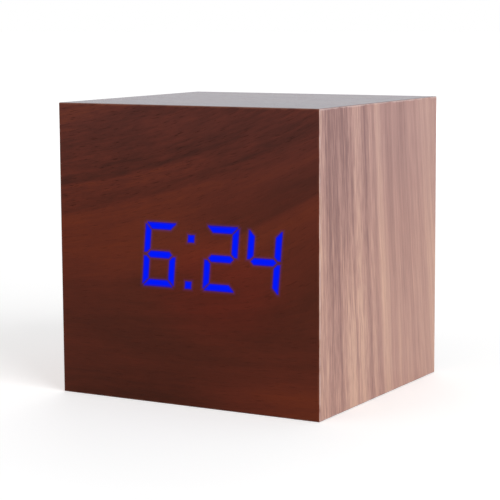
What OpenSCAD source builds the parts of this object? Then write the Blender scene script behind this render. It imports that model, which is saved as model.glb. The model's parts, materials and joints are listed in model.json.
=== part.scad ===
// Box-shaped light-emitting clock in a veneered case. It stands on Z = 0 with its front towards -Y. Millimetres.

/* [Case] */
// Width of the case, left to right
case_w = 62; // [61:0.5:90]
// Height of the case
case_h = 62; // [61:0.5:90]
// Depth of the case, front to back
case_d = 56; // [50:0.5:90]
// Thickness of a board of the case, under its veneer
board_t = 3.9; // [3:0.1:4.2]
// Thickness of the veneer
veneer_t = 0.6; // [0.5:0.05:0.9]
// Radius of the eased outer edges
edge_r = 0.4; // [0.2:0.05:0.45]
// Side of the square glue blocks in the rear corners
block_side = 7; // [6:0.25:7.5]
// Length of the glue blocks, front to back
block_l = 14; // [12:0.5:25]

/* [Display] */
// Hour shown
shown_hour = 6; // [0:1:23]
// Minute shown
shown_minute = 24; // [0:1:59]
// Height of a digit
digit_h = 13.4; // [10:0.1:16]
// Width of a digit
digit_w = 7.75; // [6:0.05:8.6]
// Width of a segment's stroke
stroke_w = 1.5; // [1.2:0.05:2]
// Gap between two segments where they meet at a mitre
segment_gap = 0.15; // [0.1:0.01:0.5]
// How far the sharp tips of a segment are cut back
tip_cut = 0.3; // [0.1:0.05:0.6]
// Gap between an upper and a lower upright segment
waist_gap = 0.7; // [0.4:0.05:1.2]
// Forward slant of the digits, in degrees
slant = 5; // [0:0.5:10]
// Spacing of two neighbouring digits
digit_pitch = 9.9; // [9.2:0.05:11]
// Spacing of the two digits beside the colon
colon_pitch = 14.6; // [12.5:0.05:16]
// Side of a colon dot
dot_side = 1.6; // [1.2:0.05:2.2]
// Height of the upper colon dot above the middle of the digits
upper_dot_z = 3.7; // [2:0.05:5]
// Distance of the colon to the right of the case's middle
display_x = 1.25; // [-2:0.05:2]
// Height of the digits' middle above the case's middle
display_z = 0.25; // [-2:0.05:2]
// Plain border of the light baffle round the digits
baffle_margin = 1.5; // [1:0.1:2]
// Clearance of the light baffle in the front board's window and behind the veneer
baffle_clearance = 0.15; // [0.05:0.05:0.4]
// Side of a light-emitting chip
led_side = 1; // [0.6:0.05:1.1]
// Height of a light-emitting chip
led_h = 0.6; // [0.3:0.05:0.8]
// Air gap between a light-emitting chip and its light bar
led_gap = 0.2; // [0.1:0.05:0.5]

/* [Main board] */
// Room between the main board and each side of the case
main_side_room = 1.5; // [1:0.1:1.9]
// Height of the main board
main_h = 38; // [36:0.5:46]
// Thickness of the circuit boards
pcb_t = 1.6; // [1:0.1:2]
// Radius of the circuit boards' corners
pcb_corner_r = 1; // [0.5:0.1:2]
// Inset of the main board's screws from its edges
main_screw_inset = 3; // [2.6:0.1:3.4]
// Length of the clock chip's body
chip_l = 18; // [16:0.1:19]
// Width of the clock chip's body
chip_w = 7.5; // [6:0.1:8]
// Height of the clock chip above the board
chip_h = 2.5; // [1.8:0.1:3]
// Spacing of the clock chip's legs
leg_pitch = 1.27; // [1.1:0.01:1.3]
// Number of legs along one side of the clock chip
legs_a_side = 14; // [10:1:14]
// Diameter of the crystal's can
crystal_d = 3; // [2:0.1:3.2]
// Length of the crystal's can
crystal_l = 8; // [6:0.1:9]
// Diameter of the buzzer
buzzer_d = 12; // [9:0.5:13]
// Height of the buzzer
buzzer_h = 8.5; // [5:0.5:10]
// Diameter of the capacitor
capacitor_d = 6.3; // [5:0.1:7]
// Height of the capacitor
capacitor_h = 7.7; // [5:0.1:9]
// Diameter of the sound sensor's capsule
sensor_d = 6; // [4:0.1:7]
// Height of the sound sensor's capsule
sensor_h = 2.7; // [2:0.1:4]
// Number of resistors in the row
resistors_n = 8; // [4:1:9]
// Width of a plug housing
plug_w = 10; // [9:0.1:11]
// Height of a plug housing, upwards
plug_h = 5; // [4:0.1:5.5]
// Length of a plug housing, off the board
plug_l = 6; // [4:0.1:8]

/* [Screws] */
// Diameter of a screw's shank
screw_d = 1.8; // [1.4:0.1:2]
// Diameter of a screw's head
screw_head_d = 3.6; // [3:0.1:3.8]
// Height of a screw's head
screw_head_h = 1.2; // [0.8:0.1:1.3]
// Width of the cross cut in a screw's head
cross_w = 0.54; // [0.4:0.02:0.7]
// Length of the cross cut in a screw's head
cross_l = 2.16; // [1.6:0.02:2.6]
// Bevel round a screw's head
screw_edge = 0.4; // [0.2:0.05:0.5]
// Clearance round a shank where it passes through a piece
screw_clearance = 0.2; // [0.1:0.05:0.4]
// Clearance round a shank in the piece that it bites into
screw_bite_clearance = 0.03; // [0.02:0.01:0.1]
// Length of a cover screw in its glue block
cover_screw_bite = 8; // [6:0.5:10]
// Length of a main board screw in the front board
main_screw_bite = 2.5; // [2:0.1:2.6]
// Length of a button board screw in its boss
button_screw_bite = 4; // [3:0.1:4.6]

/* [Back cover] */
// How far the back cover sits inside the case's rear edge
cover_recess = 1.5; // [1.2:0.1:3]
// Thickness of the back cover
cover_t = 2; // [1.8:0.1:2.4]
// Clearance of the back cover in the case
cover_clearance = 0.15; // [0.05:0.05:0.25]
// Radius of the back cover's corners
cover_corner_r = 1; // [0.5:0.1:2]
// How far the battery bay sits below the middle of the case
bay_drop = 1; // [0.5:0.1:1.2]
// Distance of the sound slots from the middle of the case
slots_x = 10; // [7:0.5:12]
// Number of sound slots
slots_n = 4; // [2:1:5]
// Width of a sound slot
slot_w = 1.2; // [0.8:0.1:1.5]
// Length of a sound slot
slot_l = 4.4; // [3:0.1:5]
// Spacing of the sound slots
slot_pitch = 2.4; // [2:0.1:2.8]

/* [Buttons] */
// Diameter of a button
button_d = 5; // [4:0.1:5.4]
// Spacing of the buttons
button_pitch = 9.5; // [8:0.1:9.8]
// How far a button stands out of the back cover
button_proud = 1.1; // [0.7:0.1:1.4]
// Travel of a button
button_travel = 0.5; // [0.3:0.05:0.6]
// Clearance round a button in the back cover
button_clearance = 0.15; // [0.1:0.05:0.3]
// Width of the flange that keeps a button in
flange_w = 0.8; // [0.6:0.05:1]
// Thickness of the flange that keeps a button in
flange_t = 1; // [0.6:0.1:1.4]
// Gap between a button's flange and the back cover
flange_gap = 0.1; // [0.05:0.01:0.2]
// Radius of the dished face of a button
dish_r = 7; // [5:0.5:12]
// Depth of the dished face of a button
dish_depth = 0.25; // [0.1:0.05:0.4]
// Side of a switch body
switch_side = 6; // [5:0.1:6.2]
// Height of a switch body
switch_h = 3.5; // [3:0.1:4.5]
// Diameter of a switch plunger
plunger_d = 3.4; // [2.5:0.1:3.8]
// Length of a switch plunger outside its switch
plunger_l = 1.2; // [1:0.1:2]
// Clearance round a switch plunger
plunger_clearance = 0.1; // [0.05:0.05:0.2]
// Distance of the button board's bosses from the middle of the case
boss_x = 16; // [15.2:0.1:16.6]
// Diameter of the button board's bosses
boss_d = 4.4; // [3.8:0.1:4.6]
// Room above and below the button board
button_board_room = 1; // [0.6:0.1:1.2]

/* [Power inlet] */
// Distance of the inlet from the middle of the case
jack_x = -10; // [-11:0.5:-7]
// Side of the inlet's square body
jack_side = 6.2; // [5.6:0.1:6.6]
// Length of the inlet's body, behind the cover
jack_l = 10; // [9:0.5:11]
// Diameter of the inlet's nose
jack_nose_d = 5.8; // [5.2:0.1:6]
// Clearance of the nose in the back cover
jack_clearance = 0.1; // [0.05:0.05:0.2]
// Diameter of the inlet's bore
jack_bore_d = 3.8; // [3.4:0.1:4.4]
// Depth of the inlet's bore, from the face of the nose
jack_bore_depth = 8.5; // [7:0.1:9]
// Diameter of the inlet's centre pin
jack_pin_d = 1.3; // [1:0.05:1.7]
// Distance of the pin's tip behind the face of the nose
jack_pin_recess = 1; // [0.5:0.1:2]
// Length of the pin in the inlet's back wall
jack_pin_root = 2.5; // [1.5:0.1:2.5]

/* [Battery bay] */
// Diameter of a cell
cell_d = 10.5; // [10.1:0.1:10.6]
// Length of a cell
cell_l = 44.5; // [43.5:0.1:44.6]
// Diameter of a cell's positive cap
cap_d = 3.8; // [3:0.1:4.5]
// Height of a cell's positive cap
cap_h = 1; // [0.8:0.1:1.4]
// Clearance round a cell
cell_clearance = 0.25; // [0.15:0.05:0.3]
// Length of a fitted contact spring
spring_l = 3.9; // [3.5:0.1:4]
// Diameter of the spring wire
spring_wire_d = 0.5; // [0.4:0.05:0.55]
// Radius of a contact spring at its plate
spring_wide_r = 3.6; // [3.2:0.1:4]
// Radius of a contact spring at its cell
spring_narrow_r = 1.9; // [1.5:0.1:2.2]
// Curls of a contact spring
spring_curls = 3.5; // [3:0.5:3.5]
// Gap between a spring's end curl and what it bears on
spring_seat_gap = 0.05; // [0.02:0.01:0.1]
// Thickness of a contact plate
plate_t = 0.3; // [0.2:0.05:0.4]
// Width of a contact plate
plate_w = 8.4; // [7:0.1:9]
// Height of a contact plate's lower edge above the bay's floor
plate_foot = 1; // [0.6:0.1:1.6]
// Clearance of a contact plate in its slot
plate_clearance = 0.05; // [0.03:0.01:0.1]
// Width of a contact plate's solder tail
tail_w = 2; // [1.5:0.1:3]
// Length of a solder tail beyond the bay
tail_l = 2; // [1.5:0.1:3]
// Thickness of the bay's walls
bay_wall = 1.2; // [1.1:0.05:1.3]
// Thickness of the battery door
door_t = 1.8; // [1.6:0.05:1.85]
// Clearance round the battery door
door_clearance = 0.15; // [0.1:0.05:0.2]
// Gap between the battery door and its ledge
door_seat_gap = 0.05; // [0.03:0.01:0.1]
// Width of the ledge under the battery door
door_ledge = 0.8; // [0.6:0.05:0.9]
// Radius of the battery door's upper corners
door_corner_r = 0.8; // [0.4:0.1:1.5]
// Diameter of the battery door's hinge pins
door_pin_d = 1; // [0.8:0.05:1.1]
// Length of the battery door's hinge pins
door_pin_l = 0.5; // [0.4:0.05:0.6]
// Play round a hinge pin
door_pin_play = 0.06; // [0.04:0.01:0.1]
// Width of the battery door's latch finger
finger_w = 12; // [8:0.5:16]
// Length of the latch finger
finger_l = 7; // [5:0.5:10]
// Width of the slits beside the latch finger
slit_w = 0.7; // [0.5:0.05:1]
// Width of the latch finger's thumb tab
tab_w = 9; // [6:0.5:10]
// How far the thumb tab reaches above the door
tab_reach = 1.1; // [0.8:0.1:1.2]
// Thickness of the thumb tab
tab_t = 0.8; // [0.6:0.05:0.9]
// Clearance round the thumb tab in its notch
tab_clearance = 0.3; // [0.2:0.05:0.35]
// Number of grip ribs on the latch finger
grips_n = 3; // [2:1:4]
// Height of a grip rib
grip_h = 0.35; // [0.2:0.05:0.5]
// Width of a grip rib
grip_w = 0.7; // [0.5:0.05:0.9]
// Spacing of the grip ribs
grip_pitch = 1.5; // [1.2:0.1:1.7]

/* [Leads] */
// Diameter of a lead
lead_d = 1.1; // [0.8:0.05:1.3]
// Spacing of the leads at their plug
lead_pitch = 2; // [1.6:0.1:2.4]
// How far a lead runs straight before it bends
lead_straight = 13; // [8:0.5:16]
// Width of the button ribbon
ribbon_w = 5; // [4:0.1:6]
// Thickness of the button ribbon
ribbon_t = 1.1; // [0.8:0.1:1.3]

/* [Hidden] */

$fn = 64;
// Overrun of a cut past the face that it opens
over = 0.5;

// Colours of the materials
walnut = "#5a2f22";
mdf = "#b08d62";
black_plastic = "#1c1c1e";
board_green = "#1f5a35";
white_plastic = "#e9e6dd";
lit_blue = "#0a1cff";
dull_white = "#9a958c";
steel = "#b9bcc0";
nickel = "#c9c6bd";
sleeve = "#4a7f58";

// Walls of the case and the space inside
wall = board_t + veneer_t;
mid_z = case_h / 2;
front_y = -case_d / 2;
rear_y = case_d / 2;
cavity_x = case_w / 2 - wall;
cavity_low_z = wall;
cavity_high_z = case_h - wall;
window_back_y = front_y + wall;

// Display
digit_half_w = digit_w / 2;
digit_half_h = digit_h / 2;
mitre = segment_gap / sqrt(2);
bar_tip_x = mitre + tip_cut - digit_half_w;
post_tip_z = digit_half_h - mitre - tip_cut;
waist = waist_gap / 2;
lean = tan(slant);
display_mid_z = mid_z + display_z;
digit_x = [
    display_x - colon_pitch / 2 - digit_pitch,
    display_x - colon_pitch / 2,
    display_x + colon_pitch / 2,
    display_x + colon_pitch / 2 + digit_pitch
];
baffle_w = colon_pitch + 2 * digit_pitch + digit_w + digit_h * lean + 2 * baffle_margin;
baffle_h = digit_h + 2 * baffle_margin;
baffle_front_y = front_y + veneer_t + baffle_clearance;
bar_back_y = window_back_y - led_h - led_gap;
lower_dot_z = -digit_half_h + dot_side / 2;
// Segments that are lit for the numerals 0 to 9
lit_letters = ["abcdef", "bc", "abdeg", "abcdg", "bcfg", "acdfg", "acdefg", "abc", "abcdefg", "abcdfg"];
shown = [
    shown_hour < 10 ? "" : lit_letters[floor(shown_hour / 10)],
    lit_letters[shown_hour % 10],
    lit_letters[floor(shown_minute / 10)],
    lit_letters[shown_minute % 10]
];
letters = ["a", "b", "c", "d", "e", "f", "g"];

// Main board and what stands on it, placed from the middle of the board
main_front_y = window_back_y;
main_back_y = main_front_y + pcb_t;
main_w = 2 * (cavity_x - main_side_room);
main_screw_x = main_w / 2 - main_screw_inset;
main_screw_z = main_h / 2 - main_screw_inset;
chip_place = [-4, 3];
crystal_place = [14, 4];
buzzer_place = [14, -9];
capacitor_place = [1, -13];
sensor_place = [-14, -13];
resistors_place = [-7, -6];
resistor_size = [2, 0.6, 1.25];
resistor_pitch = 2.6;
button_plug_place = [-10, 14];
power_plug_place = [8, 14];
plug_back_y = main_back_y + plug_l;

// Back cover
cover_out_y = rear_y - cover_recess;
cover_in_y = cover_out_y - cover_t;
cover_w = 2 * (cavity_x - cover_clearance);
cover_h = case_h - 2 * wall - 2 * cover_clearance;
cover_screw_x = cavity_x - block_side / 2;
cover_screw_z = case_h / 2 - wall - block_side / 2;

// Battery bay
bay_z = mid_z - bay_drop;
saddle_r = cell_d / 2 + cell_clearance;
cell_pitch = cell_d + cell_clearance;
row_z = [bay_z - cell_pitch, bay_z, bay_z + cell_pitch];
bay_side_room = 0.1;
bay_half_h = cell_pitch + saddle_r + bay_side_room;
bay_end_x = (cell_l + spring_l) / 2;
door_in_y = cover_out_y - door_t;
cell_axis_y = door_in_y - cell_clearance - cell_d / 2;
bay_floor_y = cell_axis_y - saddle_r;
bay_back_y = bay_floor_y - bay_wall;
bay_top_z = bay_z + bay_half_h + bay_wall;
bay_low_z = bay_z - bay_half_h - bay_wall;
door_half_w = bay_end_x + door_ledge;
door_top_z = bay_z + bay_half_h + door_ledge;
door_low_z = bay_z - bay_half_h - door_ledge;
hinge_y = cover_out_y - door_t / 2;
hinge_z = door_low_z + door_t / 2;
plate_low_y = bay_floor_y + plate_foot;
plate_high_y = door_in_y - door_seat_gap - cell_clearance;
tail_end_y = bay_back_y - tail_l;

// Buttons, in the strip of cover above the bay
button_z = (bay_top_z + cavity_high_z) / 2;
button_x = [button_pitch, 0, -button_pitch];
flange_back_y = cover_in_y - flange_gap;
flange_front_y = flange_back_y - flange_t;
switch_top_y = flange_front_y - plunger_l;
switch_low_y = switch_top_y - switch_h;
button_board_y = switch_low_y - pcb_t;
button_board_h = cavity_high_z - bay_top_z - 2 * button_board_room;
button_board_w = 2 * boss_x + boss_d;
plunger_root = 0.4;
plunger_well = plunger_root + button_travel + plunger_clearance;

// Power inlet, in the strip of cover below the bay
jack_z = (cavity_low_z + bay_low_z) / 2;
jack_low_y = cover_in_y - jack_l;
jack_pin_base_y = cover_out_y - jack_bore_depth - jack_pin_root;
lug_size = [0.5, 3, 2];
lug_spread = 4;

// Rings of a swept tube
lead_sides = 8;
lead_rings = 14;
spring_sides = 6;
curl_rings = 8;

// A flat outline in (x, z), drawn out from one y to another
module along_y(from_y, to_y) {
    translate([0, to_y, 0])
        rotate([90, 0, 0])
            linear_extrude(to_y - from_y)
                children();
}

// A flat outline in (y, z), drawn out from one x to another
module along_x(from_x, to_x) {
    translate([from_x, 0, 0])
        rotate([90, 0, 90])
            linear_extrude(to_x - from_x)
                children();
}

// A flat outline in (x, y), drawn out from one z to another
module along_z(from_z, to_z) {
    translate([0, 0, from_z])
        linear_extrude(to_z - from_z)
            children();
}

// A round rod along y
module rod_y(r, x, z, from_y, to_y) {
    translate([x, from_y, z])
        rotate([-90, 0, 0])
            cylinder(r = r, h = to_y - from_y);
}

// A rod along y that tapers
module cone_y(from_r, to_r, x, z, from_y, to_y) {
    translate([x, from_y, z])
        rotate([-90, 0, 0])
            cylinder(r1 = from_r, r2 = to_r, h = to_y - from_y);
}

// A round rod along x
module rod_x(r, y, z, from_x, to_x) {
    translate([from_x, y, z])
        rotate([0, 90, 0])
            cylinder(r = r, h = to_x - from_x);
}

// A block between two corners
module block(low, high) {
    translate(low)
        cube(high - low);
}

// A rectangle with round corners about a middle point
module rounded_rect(middle, w, h, r) {
    translate(middle) {
        square([w - 2 * r, h], center = true);
        square([w, h - 2 * r], center = true);
        for (side = [-1, 1], end = [-1, 1])
            translate([side * (w / 2 - r), end * (h / 2 - r)])
                circle(r);
    }
}

// An upright slot with round ends about a middle point
module round_slot(middle, w, l) {
    translate(middle) {
        square([w, l - w], center = true);
        for (end = [-1, 1])
            translate([0, end * (l - w) / 2])
                circle(w / 2);
    }
}

// The whole outside of the case with its edges eased
module eased_case() {
    intersection() {
        along_y(front_y, rear_y)
            rounded_rect([0, mid_z], case_w, case_h, edge_r);
        along_x(-case_w / 2, case_w / 2)
            rounded_rect([0, mid_z], case_d, case_h, edge_r);
        along_z(0, case_h)
            rounded_rect([0, 0], case_w, case_d, edge_r);
    }
}

// How far a layer of a side wall stops short of the rear, at a depth below the surface
function rear_inset(depth) = min(depth, veneer_t);

// One layer of the front wall, between two depths below the surface, mitred on four edges
module front_layer(outer, inner) {
    intersection() {
        along_z(0, case_h)
            polygon([
                [outer - case_w / 2, front_y + outer], [case_w / 2 - outer, front_y + outer],
                [case_w / 2 - inner, front_y + inner], [inner - case_w / 2, front_y + inner]
            ]);
        along_x(-case_w / 2, case_w / 2)
            polygon([
                [front_y + outer, outer], [front_y + inner, inner],
                [front_y + inner, case_h - inner], [front_y + outer, case_h - outer]
            ]);
    }
}

// The mitred cross-section of the right wall, between two depths
module right_section(outer, inner) {
    polygon([
        [case_w / 2 - outer, outer], [case_w / 2 - outer, case_h - outer],
        [case_w / 2 - inner, case_h - inner], [case_w / 2 - inner, inner]
    ]);
}

// The mitred cross-section of the top wall, between two depths
module top_section(outer, inner) {
    polygon([
        [outer - case_w / 2, case_h - outer], [case_w / 2 - outer, case_h - outer],
        [case_w / 2 - inner, case_h - inner], [inner - case_w / 2, case_h - inner]
    ]);
}

// One layer of the right wall, mitred to the front, the top and the bottom
module right_layer(outer, inner) {
    intersection() {
        along_y(front_y, rear_y)
            right_section(outer, inner);
        along_z(0, case_h)
            polygon([
                [case_w / 2 - outer, front_y + outer], [case_w / 2 - outer, rear_y - rear_inset(outer)],
                [case_w / 2 - inner, rear_y - rear_inset(inner)], [case_w / 2 - inner, front_y + inner]
            ]);
    }
}

// One layer of the top wall, mitred to the front and the sides
module top_layer(outer, inner) {
    intersection() {
        along_y(front_y, rear_y)
            top_section(outer, inner);
        along_x(-case_w / 2, case_w / 2)
            polygon([
                [front_y + outer, case_h - outer], [rear_y - rear_inset(outer), case_h - outer],
                [rear_y - rear_inset(inner), case_h - inner], [front_y + inner, case_h - inner]
            ]);
    }
}

// Mirrors what is at the top of the case to its bottom
module at_bottom() {
    translate([0, 0, case_h])
        mirror([0, 0, 1])
            children();
}

// Mirrors what is at the right of the case to its left
module at_left() {
    mirror([1, 0, 0])
        children();
}

module top_board() {
    color(mdf)
        top_layer(veneer_t, wall);
}

module bottom_board() {
    color(mdf)
        at_bottom()
            top_layer(veneer_t, wall);
}

module right_board() {
    color(mdf)
        right_layer(veneer_t, wall);
}

module left_board() {
    color(mdf)
        at_left()
            right_layer(veneer_t, wall);
}

// The front board has a window for the display and pilot holes for the main board's screws
module front_board() {
    color(mdf)
        difference() {
            front_layer(veneer_t, wall);
            along_y(front_y, window_back_y + over)
                translate([display_x, display_mid_z])
                    square([baffle_w + 2 * baffle_clearance, baffle_h + 2 * baffle_clearance], center = true);
            at_main_screws()
                rod_y(screw_d / 2 + screw_bite_clearance, 0, 0,
                    window_back_y - main_screw_bite - screw_clearance, window_back_y + over);
        }
}

module top_veneer() {
    color(walnut)
        intersection() {
            top_layer(0, veneer_t);
            eased_case();
        }
}

module bottom_veneer() {
    color(walnut)
        at_bottom()
            intersection() {
                top_layer(0, veneer_t);
                eased_case();
            }
}

module right_veneer() {
    color(walnut)
        intersection() {
            right_layer(0, veneer_t);
            eased_case();
        }
}

module left_veneer() {
    color(walnut)
        at_left()
            intersection() {
                right_layer(0, veneer_t);
                eased_case();
            }
}

// The front veneer is open where a segment shines through
module front_veneer() {
    color(walnut)
        difference() {
            intersection() {
                front_layer(0, veneer_t);
                eased_case();
            }
            light_bars(true, front_y - over, front_y + veneer_t + over);
        }
}

// Frame of veneer over the raw rear edges of the boards, mitred to the side veneers
module rear_edging() {
    color(walnut)
        difference() {
            intersection() {
                mirror([0, 1, 0])
                    front_layer(0, veneer_t);
                eased_case();
            }
            block([-cavity_x, rear_y - veneer_t - over, cavity_low_z], [cavity_x, rear_y + over, cavity_high_z]);
        }
}

// Square blocks glued into the rear corners, drilled for the cover screws
module corner_blocks() {
    color(mdf)
        difference() {
            for (side = [-1, 1], level = [-1, 1])
                translate([side * cover_screw_x, cover_in_y - block_l / 2, mid_z + level * cover_screw_z])
                    cube([block_side, block_l, block_side], center = true);
            at_cover_screws()
                rod_y(screw_d / 2 + screw_bite_clearance, 0, 0,
                    cover_in_y - cover_screw_bite - screw_clearance, cover_in_y + over);
        }
}

// Copies at the four cover screws
module at_cover_screws() {
    for (side = [-1, 1], level = [-1, 1])
        translate([side * cover_screw_x, 0, mid_z + level * cover_screw_z])
            children();
}

// Copies at the four main board screws
module at_main_screws() {
    for (side = [-1, 1], level = [-1, 1])
        translate([side * main_screw_x, 0, mid_z + level * main_screw_z])
            children();
}

// Copies at the two button board screws
module at_button_screws() {
    for (side = [-1, 1])
        translate([side * boss_x, 0, button_z])
            children();
}

// A pan-head screw along y, with its head towards the rear at seat_y and a cross cut in the head
module screw_to_front(seat_y, tip_y) {
    edge_y = seat_y + screw_head_h - screw_edge;
    difference() {
        union() {
            rod_y(screw_d / 2, 0, 0, tip_y, seat_y + screw_head_h / 2);
            rod_y(screw_head_d / 2, 0, 0, seat_y, edge_y);
            cone_y(screw_head_d / 2, screw_head_d / 2 - screw_edge, 0, 0, edge_y, seat_y + screw_head_h);
        }
        for (turn = [0, 90])
            translate([0, seat_y + screw_head_h, 0])
                rotate([0, turn, 0])
                    cube([cross_l, screw_head_h, cross_w], center = true);
    }
}

// Mirrors a point set about the upright or the level middle line of a digit
function flip_side(points) = [for (p = points) [-p[0], p[1]]];
function flip_level(points) = [for (p = points) [p[0], -p[1]]];

// Outlines of the seven segments about the middle of an upright digit
upper_bar = [
    [bar_tip_x, digit_half_h - tip_cut], [bar_tip_x, digit_half_h],
    [-bar_tip_x, digit_half_h], [-bar_tip_x, digit_half_h - tip_cut],
    [digit_half_w - stroke_w - mitre, digit_half_h - stroke_w],
    [stroke_w + mitre - digit_half_w, digit_half_h - stroke_w]
];
upper_left_post = [
    [-digit_half_w, post_tip_z], [tip_cut - digit_half_w, post_tip_z],
    [stroke_w - digit_half_w, digit_half_h - stroke_w - mitre],
    [stroke_w - digit_half_w, stroke_w / 2 + waist], [stroke_w / 2 - digit_half_w, waist],
    [-digit_half_w, waist]
];
middle_bar = [
    [stroke_w / 2 + mitre - digit_half_w, 0], [stroke_w + mitre - digit_half_w, stroke_w / 2],
    [digit_half_w - stroke_w - mitre, stroke_w / 2], [digit_half_w - stroke_w / 2 - mitre, 0],
    [digit_half_w - stroke_w - mitre, -stroke_w / 2], [stroke_w + mitre - digit_half_w, -stroke_w / 2]
];
segment_outline = [
    upper_bar,
    flip_side(upper_left_post),
    flip_side(flip_level(upper_left_post)),
    flip_level(upper_bar),
    flip_level(upper_left_post),
    upper_left_post,
    middle_bar
];
dot_outline = [
    [-dot_side / 2, -dot_side / 2], [dot_side / 2, -dot_side / 2],
    [dot_side / 2, dot_side / 2], [-dot_side / 2, dot_side / 2]
];

// Leans an outline to the right by the slant of the digits
function leaning(points) = [for (p = points) [p[0] + p[1] * lean, p[1]]];
// Moves an outline up or down
function raised(points, rise) = [for (p = points) [p[0], p[1] + rise]];
// Middle of a set of points
function middle_of(points) = [for (p = points) 1] * points / len(points);
// True where a letter is one of the lit ones
function is_lit(letter, lit) = len(search(letter, lit)) > 0;

// Outlines of the lit or the dark segments on the front of the case, as seen from the front
function chosen_outlines(lit) = concat(
    [for (place = [0:3], i = [0:6])
        if (is_lit(letters[i], shown[place]) == lit)
            [for (p = leaning(segment_outline[i])) p + [digit_x[place], display_mid_z]]],
    [for (rise = lit ? [upper_dot_z, lower_dot_z] : [])
        [for (p = leaning(raised(dot_outline, rise))) p + [display_x, display_mid_z]]]
);

// The lit or the dark light bars between two depths
module light_bars(lit, from_y, to_y) {
    for (outline = chosen_outlines(lit))
        along_y(from_y, to_y)
            polygon(outline);
}

// White moulding with a well for each segment
module light_baffle() {
    color(white_plastic)
        difference() {
            along_y(baffle_front_y, main_front_y)
                translate([display_x, display_mid_z])
                    square([baffle_w, baffle_h], center = true);
            light_bars(true, baffle_front_y - over, main_front_y + over);
            light_bars(false, baffle_front_y - over, main_front_y + over);
        }
}

// Lit bars reach the face of the veneer, where their light shows
module lit_segments() {
    color(lit_blue)
        light_bars(true, front_y, bar_back_y);
}

// Dark bars stay behind the veneer
module dark_segments() {
    color(dull_white)
        light_bars(false, baffle_front_y, bar_back_y);
}

// One light-emitting chip on the main board under the middle of each bar
module led_chips() {
    color("gold")
        for (outline = concat(chosen_outlines(true), chosen_outlines(false)))
            along_y(main_front_y - led_h, main_front_y)
                translate(middle_of(outline))
                    square(led_side, center = true);
}

module main_board() {
    color(board_green)
        difference() {
            along_y(main_front_y, main_back_y)
                rounded_rect([0, mid_z], main_w, main_h, pcb_corner_r);
            at_main_screws()
                rod_y(screw_d / 2 + screw_clearance, 0, 0, main_front_y - over, main_back_y + over);
        }
}

module board_screws() {
    color(steel)
        at_main_screws()
            screw_to_front(main_back_y, main_front_y - main_screw_bite);
}

// Moves a piece from the middle of the main board's back to its place there
module on_main_board(place) {
    translate([place[0], main_back_y, mid_z + place[1]])
        children();
}

// Flat package with a row of bent legs on each long side
module clock_chip() {
    leg_w = 0.45;
    leg_t = 0.2;
    leg_reach = 1.4;
    foot = 0.7;
    stand_off = 0.15;
    leg_y = chip_h / 2;
    color(black_plastic)
        on_main_board(chip_place) {
            block([-chip_l / 2, stand_off, -chip_w / 2], [chip_l / 2, chip_h, chip_w / 2]);
            for (i = [0:legs_a_side - 1], side = [0, 1])
                translate([(i - (legs_a_side - 1) / 2) * leg_pitch, 0, 0])
                    mirror([0, 0, side])
                        along_x(-leg_w / 2, leg_w / 2)
                            polygon([
                                [leg_y, chip_w / 2 - leg_t], [leg_y + leg_t, chip_w / 2 - leg_t],
                                [leg_y + leg_t, chip_w / 2 + leg_reach - foot],
                                [leg_t, chip_w / 2 + leg_reach - foot + leg_t],
                                [leg_t, chip_w / 2 + leg_reach], [0, chip_w / 2 + leg_reach],
                                [0, chip_w / 2 + leg_reach - foot], [leg_y, chip_w / 2 + leg_reach - foot - leg_t]
                            ]);
        }
}

// Metal can lying on the board, with a rolled rim at one end
module crystal() {
    rim = 0.3;
    rim_l = 0.6;
    color(steel)
        on_main_board(crystal_place) {
            rod_x(crystal_d / 2, crystal_d / 2 + rim, 0, -crystal_l / 2, crystal_l / 2);
            rod_x(crystal_d / 2 + rim, crystal_d / 2 + rim, 0, -crystal_l / 2, rim_l - crystal_l / 2);
        }
}

// Round sounder with a hole in its face
module buzzer() {
    edge = 0.5;
    hole_d = 2;
    hole_depth = 3;
    color(black_plastic)
        on_main_board(buzzer_place)
            difference() {
                union() {
                    rod_y(buzzer_d / 2, 0, 0, 0, buzzer_h - edge);
                    cone_y(buzzer_d / 2, buzzer_d / 2 - edge, 0, 0, buzzer_h - edge, buzzer_h);
                }
                rod_y(hole_d / 2, 0, 0, buzzer_h - hole_depth, buzzer_h + over);
            }
}

// Metal can with a rolled groove on a square base
module capacitor() {
    base_h = 1.2;
    groove_depth = 0.3;
    collar_h = 0.8;
    groove_y = base_h + collar_h;
    groove_w = 0.6;
    color(steel)
        on_main_board(capacitor_place) {
            block([-capacitor_d / 2, 0, -capacitor_d / 2], [capacitor_d / 2, base_h, capacitor_d / 2]);
            rod_y(capacitor_d / 2, 0, 0, base_h, groove_y);
            rod_y(capacitor_d / 2 - groove_depth, 0, 0, groove_y, groove_y + groove_w);
            rod_y(capacitor_d / 2, 0, 0, groove_y + groove_w, capacitor_h);
        }
}

// Round capsule with a rim round its face
module sound_sensor() {
    rim = 0.5;
    face_depth = 0.3;
    color(steel)
        on_main_board(sensor_place)
            difference() {
                rod_y(sensor_d / 2, 0, 0, 0, sensor_h);
                rod_y(sensor_d / 2 - rim, 0, 0, sensor_h - face_depth, sensor_h + over);
            }
}

module resistors() {
    color(black_plastic)
        on_main_board(resistors_place)
            for (i = [0:resistors_n - 1])
                translate([(i - (resistors_n - 1) / 2) * resistor_pitch, 0, 0])
                    block([-resistor_size[0] / 2, 0, -resistor_size[2] / 2],
                        [resistor_size[0] / 2, resistor_size[1], resistor_size[2] / 2]);
}

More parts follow.
